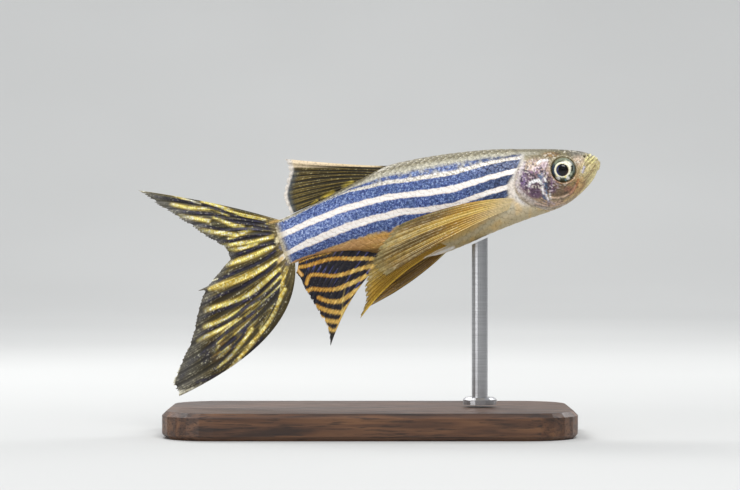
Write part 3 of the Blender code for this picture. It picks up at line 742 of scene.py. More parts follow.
def add_scales(side, material):
    """Overlapping scales on one side, behind the gill cover, as a front and a rear coat."""
    ahead, across = SCALE_GRID
    local_u = np.linspace(0, 1, ahead)
    local_v = np.linspace(-1, 1, across)
    rng = np.random.default_rng(SCALE_SEED[side])
    stations = np.linspace(0, LAST_STATION, BODY_STEPS)
    spine = skin(stations, np.full(BODY_STEPS, math.pi / 2))
    lengths = np.append(0, np.cumsum(np.linalg.norm(np.diff(spine[:, [0, 2]], axis=0), axis=1)))
    angles = np.linspace(0.02, math.pi - 0.02, RING_STEPS)
    first = np.interp(GILL_TOP - 0.4, stations, lengths)
    taper = np.sqrt(np.clip(1 - (np.clip((local_u - 0.45) / 0.55, 0, 1)) ** 2, 0.02, 1))
    taper = np.minimum(taper, 0.55 + 1.1 * local_u)
    patches, turns, sizes = [], [], []
    for column in range(int((lengths[-1] - first) / (SCALE_PITCH / 2))):
        start = first + column * SCALE_PITCH / 2
        ring = skin(np.full(RING_STEPS, np.interp(start + 0.5, lengths, stations)), side * angles)
        girth = np.append(0, np.cumsum(np.linalg.norm(np.diff(ring, axis=0), axis=1)))
        crowding = 0.72 + 0.28 * fade(3.0, 9.0, girth[-1])
        rows = max(4, int(round(girth[-1] / (SCALE_ROW * crowding))))
        pitch = girth[-1] / rows
        size = pitch / SCALE_ROW
        for row in range(rows):
            where = (row + 0.5 * (column % 2) + 0.25) * pitch
            if where > girth[-1] - 0.1:
                continue
            unevenness = rng.uniform(1 - SCALE_UNEVEN, 1 + SCALE_UNEVEN)
            length = SCALE_LENGTH * (0.6 + 0.4 * size) * unevenness
            station = np.interp(start + local_u * length, lengths, stations)[:, None] + 0 * local_v
            place = np.clip(where + pitch * 0.62 * taper[:, None] * local_v, 0.01, girth[-1] - 0.01)
            turn = side * np.interp(place, girth, angles)
            behind_gill = (station[0] > gill_station(turn[0]) - 0.02).all()
            if behind_gill and station.max() < LAST_STATION - 0.5:
                patches.append(station)
                turns.append(turn)
                sizes.append(size)
    station, turn, size = np.array(patches), np.array(turns), np.array(sizes)[:, None, None]
    surface, normal = skin(station, turn), skin_normal(station, turn)
    crown = 1 - 0.35 * local_v[None, None, :] ** 2
    rise = (SCALE_LIFT * size + SCALE_SINK) * fade(0.0, 0.95, local_u)[None, :, None]
    height = (rise * (0.7 + 0.3 * fade(0.3, 0.7, np.cos(turn))) - SCALE_SINK) * crown
    height = height[..., None]
    layers = np.stack([surface + normal * height, surface + normal * (height - SCALE_THICKNESS)], 1)
    tint, place, shown, deep = skin_colours(surface, station, turn)
    edge = fade(0.5, 0.95, local_u)[None, :, None]
    upper = fade(2.4, 1.2, place)
    tint = tint * (1 + upper * (0.56 * edge - 0.2))[..., None]
    tint = tint * rng.uniform(1 - SCALE_SHADES, 1 + SCALE_SHADES, len(patches))[:, None, None, None]
    root = np.stack([station[:, 0, 0] / LAST_STATION,
                     (turn[:, 0, across // 2] / math.pi + 1) / 2], -1)
    spread = np.stack(np.meshgrid(local_u, local_v / 2 + 0.5, indexing="ij"), -1) * SCALE_PATCH
    patch = root[:, None, None, :] * 0.95 + 0.02 + spread
    cell = ahead * across
    whole = slab_quads(ahead, across)
    middle = len(patches) // 2
    end = SIDES[side]
    for part, chosen in (("front", slice(0, middle)), ("rear", slice(middle, len(patches)))):
        def twice(data):
            return np.stack([data[chosen], data[chosen]], 1)

        starts = np.arange(len(layers[chosen])) * 2 * cell
        quads = (whole[None] + starts[:, None, None]).reshape(-1, 4)
        made = make_mesh(f"scales_{end}_{part}", layers[chosen], quads, material, twice(tint),
                         {"place": twice(place), "stripes": twice(shown), "deep": twice(deep)},
                         twice(patch))
        face_outward(made)


# Fins

MEMBRANE = 0.05
RAY_RELIEF = 0.055
JOINT_PITCH = 0.27
SPUR_WIDTH = 0.011
ROOT_SWELL = 0.12
TAIL_OVERLAP = 0.8


def in_plane(points):
    """Points (x, z) of the fish's middle plane, swung with its tail."""
    x, z = np.asarray(points, float).T
    return np.stack([x, sway(x), z], -1)


def ripple(size, folds, start=0.0):
    """A wave across a fin that grows towards its tips."""
    def wave(u, v):
        shift = size * v ** 1.5 * np.sin(2 * math.pi * folds * u + start)
        return np.stack([0 * shift, shift, 0 * shift], -1)
    return wave


def streaks(u, v, count, length, seed):
    """Noise from 0 to 1 drawn out along a fin's rays."""
    return value_noise(u * count, v * length, 1.0, seed)


def ray_pattern(u, v, rays):
    """How far each point stands on a ray, whose branches part towards the tip."""
    uneven = 4 * u * (1 - u) * (0.011 * np.sin(13 * u + rays) + 0.004 * np.sin(9 * v + 21 * u))
    local = ((u + uneven) * rays) % 1 - 0.5
    first = 0.19 * fade(0.25, 0.62, v)
    second = 0.1 * fade(0.6, 0.92, v)
    width = 0.15 - 0.085 * fade(0.1, 0.7, v)
    ray = np.zeros(u.shape)
    for one in (-1, 1):
        for two in (-1, 1):
            ray = np.maximum(ray, np.exp(-((local - one * first - two * second) / width) ** 2))
    return ray


def fin(name, nodes, roots, controls, tips, rays, tint, material, wave=None, per_ray=16,
        rows=200, seed=1, ragged=0.035, pleat=0.05, spur=None):
    """A thin membrane with branched, jointed rays between its root curve and its tip curve.

    A wave bends it, ragged and pleat set how worn its edge is and how deep it folds between its
    rays, and a spur, (place across, length), is a point that stands out of its edge.
    """
    rng = np.random.default_rng(seed)
    columns = rays * per_ray + 1
    across = np.linspace(0, 1, columns)
    along = np.linspace(0, 1, rows) ** 0.93
    notch = 1 - ray_pattern(across, np.ones(columns), rays)
    wear = np.interp(across, np.linspace(0, 1, rays * 2 + 1), rng.random(rays * 2 + 1))
    inner = fade(0.0, 0.04, across) * fade(1.0, 0.96, across)
    reach = 1 + ragged * (0.3 - notch - 0.7 * wear) * inner
    if spur is not None:
        reach = reach + spur[1] * np.exp(-((across - spur[0]) / SPUR_WIDTH) ** 2)
    u = across[None, :] + 0 * along[:, None]
    v = along[:, None] * reach[None, :]

    def middle(u, v):
        root, control, tip = (smooth(curve, u) for curve in (roots, controls, tips))
        v = v[..., None]
        place = (1 - v) ** 2 * root + 2 * v * (1 - v) * control + v * v * tip
        return place if wave is None else place + wave(u, v[..., 0])

    step = 0.004
    edge = np.clip(u, step, 1 - step)
    run = np.clip(v, step, 1 - step)
    normal = np.cross(middle(edge + step, run) - middle(edge - step, run),
                      middle(edge, run + step) - middle(edge, run - step))
    normal /= np.linalg.norm(normal, axis=-1, keepdims=True)
    centre = middle(u, v)
    lengths = np.linalg.norm(np.diff(centre, axis=0), axis=-1)
    far = np.vstack([np.zeros((1, columns)), np.cumsum(lengths, axis=0)])
    ray = ray_pattern(u, v, rays)
    ray_of = np.floor(u * rays).clip(0, rays - 1)
    joint = 0.5 + 0.5 * np.cos(2 * math.pi * (far / JOINT_PITCH + ray_of * 0.37))
    joint = joint ** 6 * fade(0.12, 0.3, v)
    thin = 1 - 0.75 * fade(0.7, 1.0, v)
    root_swell = ROOT_SWELL * (1 - fade(0.0, 0.12, v))
    half = (MEMBRANE + RAY_RELIEF * ray * (1 - 0.35 * joint) * thin + root_swell) * (0.45 + 0.55
                                                                                     * thin)
    fold = pleat * np.cos(2 * math.pi * u * rays) * fade(0.05, 0.4, v)
    centre = centre + normal * fold[..., None]
    front, rear = centre + normal * half[..., None], centre - normal * half[..., None]
    colours = tint(centre[..., 0], centre[..., 2], u, v, ray, joint)
    made = make_mesh(name, np.stack([front, rear]), slab_quads(rows, columns), material,
                     np.stack([colours, colours]),
                     {"ray": np.tile(ray.ravel(), 2), "joint": np.tile(joint.ravel(), 2)})
    face_outward(made)
    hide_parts(*nodes)


DARK = rgb(27, 25, 46)
INK = rgb(16, 17, 34)
AMBER = rgb(184, 152, 50)
LEMON = rgb(252, 238, 136)
PEARL = rgb(252, 250, 232)
ORANGE = rgb(206, 144, 42)
SMOKE = rgb(104, 101, 94)

TAIL_DARK = [
    ([(264.6, 222.1), (253.4, 220.7), (242.2, 218.6), (228.2, 213.4), (208.5, 206.6),
      (190.3, 202.4), (172.1, 199.6), (151, 195.7)], 3.4),
    ([(267.4, 226.3), (253.4, 223.8), (233.8, 221), (214.2, 215.1), (197.3, 213), (183.3, 211.7),
      (167.9, 208.1)], 4),
    ([(260.4, 229.4), (242.2, 228.8), (228.2, 229.4), (214.2, 228.1), (200.1, 224.9),
      (188.9, 222.1)], 3.4),
    ([(270.3, 233), (256.2, 235.4), (242.2, 237.8), (228.2, 241.2), (212.7, 239.6), (205.7, 237.8)],
     3.6),
    ([(271.9, 242.8), (264.6, 244.8), (256.2, 247.6), (245, 252.2), (231, 255.7)], 4.6),
    ([(274.5, 229.4), (264.6, 228.4), (253.4, 226.3)], 2.2),
    ([(274.5, 251.5), (264.6, 259.2), (253.4, 264.9), (236.6, 271.9), (222.6, 278.2),
      (208.5, 284.1)], 3.8),
    ([(275.9, 262.7), (264.6, 272.6), (250.6, 281.3), (236.6, 288.8), (219.8, 295), (202.9, 303.7)],
     3.8),
    ([(278.9, 274), (264.6, 287.7), (253.4, 296.1), (245, 300.6), (231, 306.5), (214.2, 312.1),
      (197.3, 320.5)], 3.8),
    ([(280.8, 281), (264.6, 295.3), (246.4, 306.5), (233.8, 317.4), (217, 326.1), (202.9, 332.9),
      (186.1, 342.7)], 4),
    ([(282.2, 286.6), (271, 297.5), (259, 308), (246.4, 318), (232, 328), (218.5, 339),
      (204, 351.5), (190, 364)], 3.8),
    ([(275.9, 299.2), (265, 309), (253, 320), (242.4, 330.5), (232.4, 340), (221, 349.5)], 4.0),
    ([(278.7, 306.2), (264.6, 325.9), (256.2, 338.5), (245, 352.5), (231, 366.5), (214.2, 376.4),
      (197.3, 382)], 3.6),
    ([(277.5, 300), (270.5, 315.5), (259.6, 333), (243.5, 352), (225, 371)], 2.6),
    ([(213.5, 346), (208.5, 354), (204.5, 361)], 8),
    ([(262, 338), (250, 353), (236, 366), (222, 376), (206, 383)], 3.0),
    ([(246, 330), (236, 344), (226, 356), (214, 369)], 2.2),
    ([(191.7, 359.5), (184.7, 370.7), (179.1, 380.6)], 4),
]
TAIL_BRIGHT = [
    ([(264.6, 220), (256.2, 217.9), (236.6, 213.4), (219.8, 206.6), (208.5, 202.7), (202.2, 201)],
     2.6),
    ([(200.1, 205), (186.1, 199.6), (172.1, 194.7), (155.2, 191.9), (139.8, 191.2)], 1.4),
    ([(208.5, 208.8), (200.1, 208.5), (188.9, 207.8), (172.1, 204.7)], 2.6),
    ([(228.2, 215.1), (219.8, 211.6), (208.5, 207.3)], 1.8),
    ([(242.2, 227), (233.8, 225.6), (222.6, 220), (214.2, 216.7)], 3.2),
    ([(208.5, 221), (198.7, 219.3), (188.9, 217.3), (179.1, 215.8)], 2.6),
    ([(266, 224.9), (256.2, 227.4), (246.4, 230.5), (240.8, 233.3)], 3.2),
    ([(236.6, 235), (219.8, 232.7), (208.5, 231.3), (200.1, 230.2)], 3),
    ([(271.7, 236.4), (261.8, 239.6), (250.6, 242.4), (236.6, 243.4), (222.6, 245.4)], 3),
    ([(256.2, 244), (242.2, 247.6), (226.8, 250.1)], 2.4),
    ([(236.6, 238.3), (228.2, 238.9)], 1.6),
    ([(271, 247), (256.2, 254.3), (242.2, 259.9), (226.8, 264.4)], 3.4),
    ([(276.6, 260.6), (267.4, 265.8), (256.2, 271.4), (242.2, 278.2), (228.2, 282.7),
      (214.2, 287.3)], 3.8),
    ([(278.7, 269.8), (264.6, 281.3), (253.4, 291.1), (242.2, 298.1), (228.2, 303.4),
      (205.7, 309.7)], 3.4),
    ([(280.1, 276.8), (270.3, 288), (259, 299.2), (252, 304.1), (242.2, 309.3), (231, 316),
      (219.8, 321.9), (204.3, 326.6)], 3.4),
    ([(281.5, 283.8), (273.1, 292.2), (264.6, 300.6), (254.8, 310.4), (246.4, 316.7)], 2.8),
    ([(236.6, 320.3), (221.2, 328.9), (208.5, 334.6), (197.3, 340.6)], 2.6),
    ([(240.8, 320.3), (228.2, 329.4), (219.8, 338.8), (210.6, 349)], 3),
    ([(274.5, 303.4), (261.8, 311.8), (253.4, 320.3), (246.4, 326.6), (236.6, 335)], 4),
    ([(285, 289.4), (278.7, 300.6), (270.3, 314.6), (260.4, 328.7)], 2.4),
    ([(217, 346.9), (212.7, 352.5)], 3),
    ([(268, 322), (257, 338), (243, 354), (229, 367.5), (215, 377)], 2.4),
    ([(252, 329), (241, 344), (229, 357.5), (218, 367)], 2.2),
    ([(228, 348), (220, 355)], 3.0),
]
TAIL_RIM = [
    ([(286.5, 268), (282.6, 282), (279.8, 300), (269.6, 320.6), (254.6, 339.6), (237, 361),
      (226, 373)], 3.4),
    ([(250, 274), (238, 279.5), (224, 284.4), (210, 289)], 4.0),
]
TAIL_EDGE = [
    ([(139.8, 190.9), (155.2, 191.4), (172.1, 194), (186.1, 198.6), (200.1, 203.6)], 1.5),
    ([(240, 362), (229, 372), (217, 380), (203, 386.5), (189, 391.5), (177, 393.5)], 5.2),
    ([(202, 285.4), (209, 282.2), (217, 279)], 1.5),
    ([(179, 369), (174.5, 380), (173, 389)], 2.0),
]


def tail_tint(base, low=0):
    """Painter of a tail lobe over its base colour; low is 1 for the lower lobe."""
    def tint(x, z, u, v, ray, joint):
        fleck = value_noise(x, z, 0.3, 31)
        fine = value_noise(x, z, 0.15, 32)
        lines = streaks(u, v, 44, 5, 33)
        colours = flat(x, base)
        colours = paint(
            colours,
            (fade(0.4, 0.75, lines) * 0.45, rgb(122, 106, 46)),
            (blob(x, z, (220, 352), (12, 10)) * low * 0.7, rgb(146, 106, 46)),
            (blob(x, z, (194, 360), (12, 22)) * low * 0.6, rgb(74, 70, 52)))
        gold = np.zeros(x.shape)
        for line, width in TAIL_BRIGHT:
            wide = stroke(x, z, line, width * 1.7, 0.6)
            gold = np.maximum(gold, wide)
            colours = paint(colours, (wide * (0.7 + 0.3 * lines), AMBER))
        for line, width in TAIL_BRIGHT:
            glint = stroke(x, z, line, width * 1.0, 0.7) * (0.45 + 0.55 * fade(0.25, 0.55, fleck))
            colours = paint(
                colours,
                (glint, LEMON),
                (glint * fade(0.58, 0.76, fine), PEARL))
        for line, width in TAIL_DARK:
            colours = paint(
                colours,
                (stroke(x, z, line, width * 1.05, 0.4) * (0.8 + 0.2 * fleck), DARK),
                (stroke(x, z, line, width * 0.4, 0.8) * fade(0.4, 0.7, fleck) * 0.4,
                 rgb(84, 78, 122)))
        smoke = fade(0.82, 0.97, v)
        colours = paint(colours, (smoke * 0.8, SMOKE * (0.45 + 0.75 * lines[..., None])))
        shadow = low * np.maximum(blob(x, z, (222, 362), (26, 16)),
                                  blob(x, z, (268, 316), (14, 26)))
        colours = paint(colours, (shadow * (0.5 + 0.4 * (1 - lines)), rgb(46, 40, 22)))
        for line, width in TAIL_RIM:
            rim = stroke(x, z, line, width, 0.6) * (0.6 + 0.4 * fade(0.25, 0.55, fleck))
            colours = paint(
                colours,
                (rim, rgb(216, 184, 76)),
                (rim * fade(0.45, 0.7, fine), rgb(254, 244, 170)))
        for line, width in TAIL_EDGE:
            edge = stroke(x, z, line, width, 0.5) * (0.55 + 0.45 * fade(0.3, 0.55, fine))
            colours = paint(
                colours,
                (edge, rgb(226, 220, 190)),
                (edge * fade(0.5, 0.7, fleck), PEARL))
        colours = colours * (1 + 0.45 * ray * (1 - joint))[..., None]
        colours = paint(
            colours,
            ((1 - ray) * (0.5 - 0.3 * gold), rgb(26, 24, 20)),
            (joint * ray * 0.4, rgb(36, 32, 28)))
        # Painted highlights: small pale glints on the rays between their joints.
        ray_glint = ray * (1 - joint) * fade(0.68, 0.84, fine) * fade(0.2, 0.5, fleck)
        colours = paint(colours, (ray_glint * 0.55, rgb(236, 230, 196)))
        return tail_root_tint(colours, x, z,
                              (1 - fade(0.08, 0.2, v)) * (1 - 0.6 * low * fade(0.6, 0.8, u)))
    return tint


def tail_root(share):
    """A point inside the body's end, from its top at 0 to its bottom at 1."""
    top, bottom = np.array(BACK[-1]), np.array(BELLY[-1])
    line = bottom - top
    ahead = np.array([-line[1], line[0]]) / np.linalg.norm(line)
    return tuple(top + line * share + ahead * TAIL_OVERLAP)


def add_tail_fins(material):
    """Both lobes of the tail fin, each from its half of the body's end."""
    roots = in_plane([tail_root(share) for share in (0.03, 0.27, 0.51)])
    controls = in_plane([(-16.4, 4.75), (-15.2, 3.1), (-13.2, -0.5)])
    tips = in_plane([(-26.1, 6.15), (-23.6, 4.3), (-20.9, 2.6), (-18.4, 0.85), (-16.5, -0.3),
                     (-15.8, -1.7)])
    fin("tail_fin_upper", ["caudal_fin_upper"], roots, controls, tips, 9,
        tail_tint(rgb(70, 66, 42)), material, ripple(0.35, 1.2, 0.4), seed=21, ragged=0.025)
    roots = in_plane([tail_root(share) for share in (0.49, 0.74, 0.97)])
    controls = in_plane([(-13.2, -0.45), (-13.5, -3.2), (-13.0, -5.7), (-11.0, -8.3),
                         (-7.8, -10.6)])
    tips = in_plane([(-15.8, -1.6), (-17.5, -3.6), (-18.8, -5.4), (-19.6, -8.2), (-20.2, -10.7),
                     (-21.5, -13.6), (-22.2, -15.6), (-21.5, -17.05)])
    fin("tail_fin_lower", ["caudal_fin_lower"], roots, controls, tips, 10,
        tail_tint(rgb(72, 60, 26), low=1), material, ripple(0.4, 1.4, 2.0),
        rows=240, seed=22, ragged=0.012, spur=(0.25, 0.095))


DORSAL_RAY_MARKS = [
    ([(352, 182.5), (343.5, 186.6)], 4.2, rgb(226, 202, 84)),
    ([(343, 187), (334.5, 192)], 4.2, rgb(34, 36, 44)),
    ([(333, 192.5), (323, 198.5)], 4.6, rgb(232, 204, 78)),
    ([(322.5, 198.6), (317, 201.6)], 3.6, rgb(36, 38, 44)),
    ([(317, 200.5), (312, 204.5), (309, 209)], 2.6, rgb(214, 188, 76)),
]


def dorsal_tint(x, z, u, v, ray, joint):
    """Dark olive with gold rays, a cream edge and gold and dark marks at the root."""
    lines = streaks(u, v, 38, 4, 41)
    fine = value_noise(x, z, 0.15, 42)
    colours = paint(
        flat(x, rgb(54, 46, 22)),
        (fade(0.4, 0.85, u) * 0.5, rgb(84, 74, 34)),
        (ray * (0.35 + 0.6 * lines) * (1 - 0.5 * fade(0.75, 1, v)), rgb(144, 122, 58)),
        ((1 - ray) * (0.75 - 0.3 * lines), rgb(26, 22, 14)),
        # Painted highlights: pale glints on the rays, mostly towards the front.
        (ray * (1 - joint) * fade(0.7, 0.86, fine) * fade(0.9, 0.4, u) * 0.6, rgb(232, 218, 160)))
    grey = fade(0.86, 0.95, v) * fade(0.12, 0.35, u)
    colours = paint(colours, (grey * 0.8, rgb(76, 84, 92)))
    lead = 1 - fade(0.05, 0.1, u) * fade(1.3, 0.4, v)
    lead = lead * (1 - fade(0.12, 0.17, u))
    colours = paint(
        colours,
        (lead * fade(0.04, 0.2, v), rgb(226, 204, 164)),
        (lead * fade(0.45, 0.75, v) * 0.6 * (0.5 + 0.5 * fine), rgb(252, 232, 204)))
    margin = fade(0.935, 0.965, v)
    colours = paint(colours, (margin, rgb(222, 214, 204)))
    for line, width, colour in DORSAL_RAY_MARKS:
        colours = paint(colours,
                        (stroke(x, z, line, width, 0.7) * (0.45 + 0.55 * lines) * (0.5 + 0.5 * ray),
                         colour))
    return colours


def add_dorsal_fin(material):
    """The back fin, swept to the rear."""
    roots = in_plane([(2.3, 8.95)]
                     + [(x, outline_height(BACK, x) - 0.3) for x in (0.6, -0.9, -2.4)])
    controls = in_plane([(-2.0, 8.95), (-4.4, 8.3), (-5.4, 6.7), (-5.6, 4.95)])
    tips = in_plane([(-9.65, 9.75), (-9.25, 8.5), (-9.5, 7.2), (-9.8, 5.8), (-9.6, 4.8),
                     (-9.0, 3.5)])
    fin("back_fin", ["dorsal_fin"], roots, controls, tips, 9, dorsal_tint, material,
        ripple(0.25, 0.8), rows=150, seed=23, ragged=0.02)


ANAL_BANDS = [
    ([(298.5, 262.6), (310, 258.4), (321, 255.2), (331, 252.6)], 1.3),
    ([(302, 275), (298.5, 271.5), (296.2, 268), (307, 265.9), (321, 261.5), (331, 259),
      (341.4, 258.4), (351.6, 258.8), (362, 258.3), (374, 259)], 3.2),
    ([(306.4, 283.8), (308.3, 277.8), (312, 275), (321, 275), (331.2, 276), (341.4, 274.8),
      (351.6, 271.7), (359.3, 269.1), (367, 267.2), (376, 265.3)], 3.2),
    ([(306, 291.6), (312, 289), (318.5, 289.5), (325, 289.8), (333.8, 289.5), (341.4, 287.6),
      (345.3, 285.7), (351.6, 283.2), (358, 280.2), (366, 276)], 3.4),
    ([(318.5, 297.8), (324.8, 300.4), (331.2, 301.6), (338.9, 301.6), (345, 298.6), (349.1, 295.8),
      (356, 291), (362, 287)], 3.6),
    ([(315.9, 306.1), (321, 308.6), (328.7, 311.2), (336.3, 312.5), (342, 312.4), (346.5, 307.8),
      (353, 301)], 3.6),
    ([(321, 317.5), (325, 320.2), (330, 321.4), (336.3, 322), (340, 321), (344.5, 314)], 3.4),
    ([(326.5, 327), (329.5, 329.5), (333, 331), (337, 329.5), (340.5, 323)], 2.8),
    ([(331, 336.5), (334, 338.2), (337.4, 333.5)], 2.2),
]


def anal_tint(x, z, u, v, ray, joint):
    """Orange bands over ink blue, broken up a little from ray to ray."""
    noise = value_noise(x, z, 0.3, 9)
    lines = streaks(u, v, 34, 4, 43)
    colours = flat(x, INK)
    sheen = fade(0.35, 0.7, ray) * fade(0.4, 0.7, lines) * fade(0.7, 0.3, v)
    colours = paint(colours, (sheen * 0.9, rgb(80, 86, 152)))
    front = fade(0.4, 0.12, u)
    step = 0.13 * (((u * 26) % 1) - 0.5)
    banded = np.zeros(x.shape)
    for line, width in ANAL_BANDS:
        band = stroke(x, z + step, line, width * 1.15, 0.3)
        banded = np.maximum(banded, band)
        colours = paint(
            colours,
            (band, ORANGE),
            (band * front * 0.8, rgb(240, 196, 100)),
            (stroke(x, z + step, line, width * 0.6, 0.8) * (0.1 + 0.8 * noise), rgb(246, 204, 104)))
    colours = paint(
        colours,
        (banded * fade(-4.4, -2.6, x) * fade(0.35, 0.65, noise) * 0.8, rgb(250, 216, 122)),
        (blob(x, z, (376, 267), (8, 5)) * 0.9 * (0.5 + 0.5 * noise), rgb(234, 196, 110)))
    crease = stroke(x, z,
                    [(345, 288), (343.5, 296), (342.5, 306), (342, 316), (340, 326), (338, 334)],
                    1.6)
    colours = paint(
        colours,
        (crease * (0.25 + 0.6 * banded), rgb(250, 220, 130)),
        (fade(-9.7, -10.1, z), rgb(26, 22, 18)),
        (joint * ray * 0.35, rgb(30, 24, 22)),
        ((1 - ray) * 0.4, rgb(34, 26, 16)))
    margin = stroke(x, z, [(296.5, 267.5), (301.5, 275.5)], 2.4)
    colours = paint(colours, (margin * 0.7, rgb(240, 196, 130)))
    olive = fade(0.2, 0.06, v) * fade(0.35, 0.7, u) * fade(0.3, 0.6, lines)
    return paint(
        colours,
        (olive * 0.7, rgb(150, 122, 52)),
        ((1 - fade(0.0, 0.05, v)) * 0.6, rgb(140, 112, 62)))


def add_anal_fin(material):
    """The long fin behind the vent, drawn out to a point."""
    roots = in_plane([(x, outline_height(BELLY, x) + 0.3) for x in (2.4, -0.6, -3.6, -6.4, -8.1)])
    controls = in_plane([(-2.3, -4.9), (-3.9, -3.9), (-5.6, -3.0), (-7.2, -2.9), (-8.1, -2.8)])
    tips = in_plane([(-4.45, -11.4), (-4.9, -9.3), (-5.9, -7.6), (-6.7, -6.1), (-7.4, -4.9),
                     (-7.8, -3.9), (-8.35, -3.15)])
    fin("vent_fin", ["anal_fin"], roots, controls, tips, 13, anal_tint, material,
        ripple(0.3, 1.1, 0.6), per_ray=13, rows=190, seed=24, ragged=0.03)


def root_on_skin(points, side):
    """Root points of a paired fin, a little under the skin."""
    placed = []
    for x, z in points:
        station, angle = on_skin(x, z, side)
        placed.append(skin(station, angle) - skin_normal(station, angle) * 0.2)
    return np.array(placed)


def pectoral_tint(x, z, u, v, ray, joint):
    """Golden rays from a cream root to an olive rear."""
    noise = value_noise(x, z, 0.3, 12)
    fine = value_noise(x, z, 0.15, 44)
    lines = streaks(u, v, 42, 3, 45)
    broad = streaks(u, v, 9, 1.6, 46)
    return paint(
        flat(x, rgb(208, 160, 50)),
        (fade(0.45, 0.0, v) * 0.85, rgb(240, 224, 184)),
        (fade(0.25, 0.7, u) * fade(0.3, 0.6, v) * 0.6, rgb(196, 142, 28)),
        (fade(0.45, 0.75, broad) * fade(0.05, 0.3, v) * 0.6, rgb(248, 214, 104)),
        (fade(0.55, 0.25, broad) * fade(0.4, 0.7, v) * 0.9, rgb(88, 66, 26)),
        (ray * (1 - joint) * (0.15 + 0.75 * fade(0.35, 0.7, lines)), rgb(250, 232, 166)),
        ((1 - ray) * (0.75 - 0.35 * lines) * (0.5 + 0.5 * fade(0.2, 0.7, v)), rgb(104, 72, 20)),
        (joint * ray * fade(0.3, 0.5, v) * 0.6, rgb(96, 74, 34)),
        (fade(0.4, 0.7, noise) * fade(0.6, 0.85, v) * 0.5, rgb(92, 76, 40)),
        # Painted highlights: near-white glints on the rays between their joints.
        (ray * (1 - joint) * fade(0.66, 0.82, fine) * fade(0.2, 0.5, v) * 0.8, rgb(255, 246, 206)),
        (fade(0.55, 0.8, v) * (0.3 + 0.3 * (1 - lines)), rgb(104, 82, 40)),
        (fade(0.88, 1.0, v) * 0.6, rgb(132, 124, 84)))


def add_pectoral_fin(side, material):
    """One breast fin, laid back along the flank."""
    roots = root_on_skin([(16.0, 5.2), (15.85, 4.6), (15.6, 4.0)], side)
    out, far = side * 4.3, side * 5.2
    controls = np.array([(10.5, out, 5.2), (9.5, out * 1.06, 3.2), (9.0, out, 1.2)])
    tips = np.array([(3.6, far, 2.4), (1.9, far * 1.04, 0.9), (0.5, far * 1.06, -1.1),
                     (0.3, far * 1.04, -2.6), (1.8, far, -3.4)])
    end = SIDES[side]
    fin(f"breast_fin_{end}", [f"pectoral_fin_{end}"], roots, controls, tips, 11, pectoral_tint,
        material, ripple(0.2, 1.5), per_ray=12, rows=160, seed=25, ragged=0.03, pleat=0.018)


def pelvic_tint(x, z, u, v, ray, joint):
    """Golden, with a pale front edge and a painted white highlight at its root."""
    fine = value_noise(x, z, 0.15, 47)
    lines = streaks(u, v, 30, 3, 48)
    colours = paint(
        flat(x, rgb(188, 138, 12)),
        (fade(0.3, 0.9, u) * 0.5, rgb(150, 124, 44)),
        (fade(0.5, 0.9, u) * fade(0.35, 0.7, v) * 0.6, rgb(222, 190, 110)),
        (ray * (1 - joint) * (0.2 + 0.6 * lines), rgb(240, 208, 108)),
        ((1 - ray) * (0.6 - 0.3 * lines), rgb(98, 76, 20)),
        # Painted highlights: near-white glints on the rays between their joints.
        (ray * (1 - joint) * fade(0.68, 0.84, fine) * fade(0.4, 0.8, u) * 0.8, rgb(255, 248, 214)))
    lead = 1 - fade(0.06, 0.16, u)
    return paint(
        colours,
        (lead * 0.85, rgb(238, 196, 72)),
        # Painted highlight: white at the root of the front edge, and a white line where the fin
        # meets the belly.
        (lead * fade(0.3, 0.05, v), rgb(244, 242, 236)),
        (stroke(x, z, [(452, 246.5), (440, 251.5), (425, 258)], 2.6, 0.8), rgb(250, 250, 246)),
        (fade(0.86, 1.0, v) * 0.5, rgb(126, 118, 82)))


def pelvic_shade_tint(x, z, u, v, ray, joint):
    """The far pelvic fin, which stands in the body's shade."""
    shaded = pelvic_tint(x, z, u, v, ray, joint) * rgb(186, 176, 128)
    return paint(shaded, ((1 - ray) * fade(0.15, 0.4, v) * 0.6, rgb(58, 48, 20)))


def add_pelvic_fin(side, material):
    """One belly fin; the far one is shorter and starts further forward."""
    if side < 0:
        roots = root_on_skin([(8.9, -0.15), (8.5, 0.0), (8.1, 0.15)], side)
        controls = np.array([(2.9, -3.0, -2.7), (3.2, -3.6, -1.9), (3.6, -3.8, -0.7)])
        tips = np.array([(-1.1, -2.6, -8.2), (-0.5, -3.2, -6.2), (-0.6, -3.6, -4.7),
                         (-0.2, -3.8, -3.0)])
    else:
        roots = root_on_skin([(9.3, -0.3), (8.9, -0.15), (8.5, 0.0)], side)
        controls = np.array([(5.5, 2.2, -4.2), (5.0, 3.2, -3.0), (4.6, 3.7, -2.0)])
        tips = np.array([(-0.3, 2.4, -7.1), (0.6, 2.9, -6.2), (0.6, 3.5, -5.0), (0.8, 3.8, -4.0)])
    end = SIDES[side]
    fin(f"belly_fin_{end}", [f"pelvic_fin_{end}"], roots, controls, tips, 8,
        pelvic_tint if side < 0 else pelvic_shade_tint, material, None, per_ray=12, rows=140,
        seed=26, pleat=0.03)


# Eyes

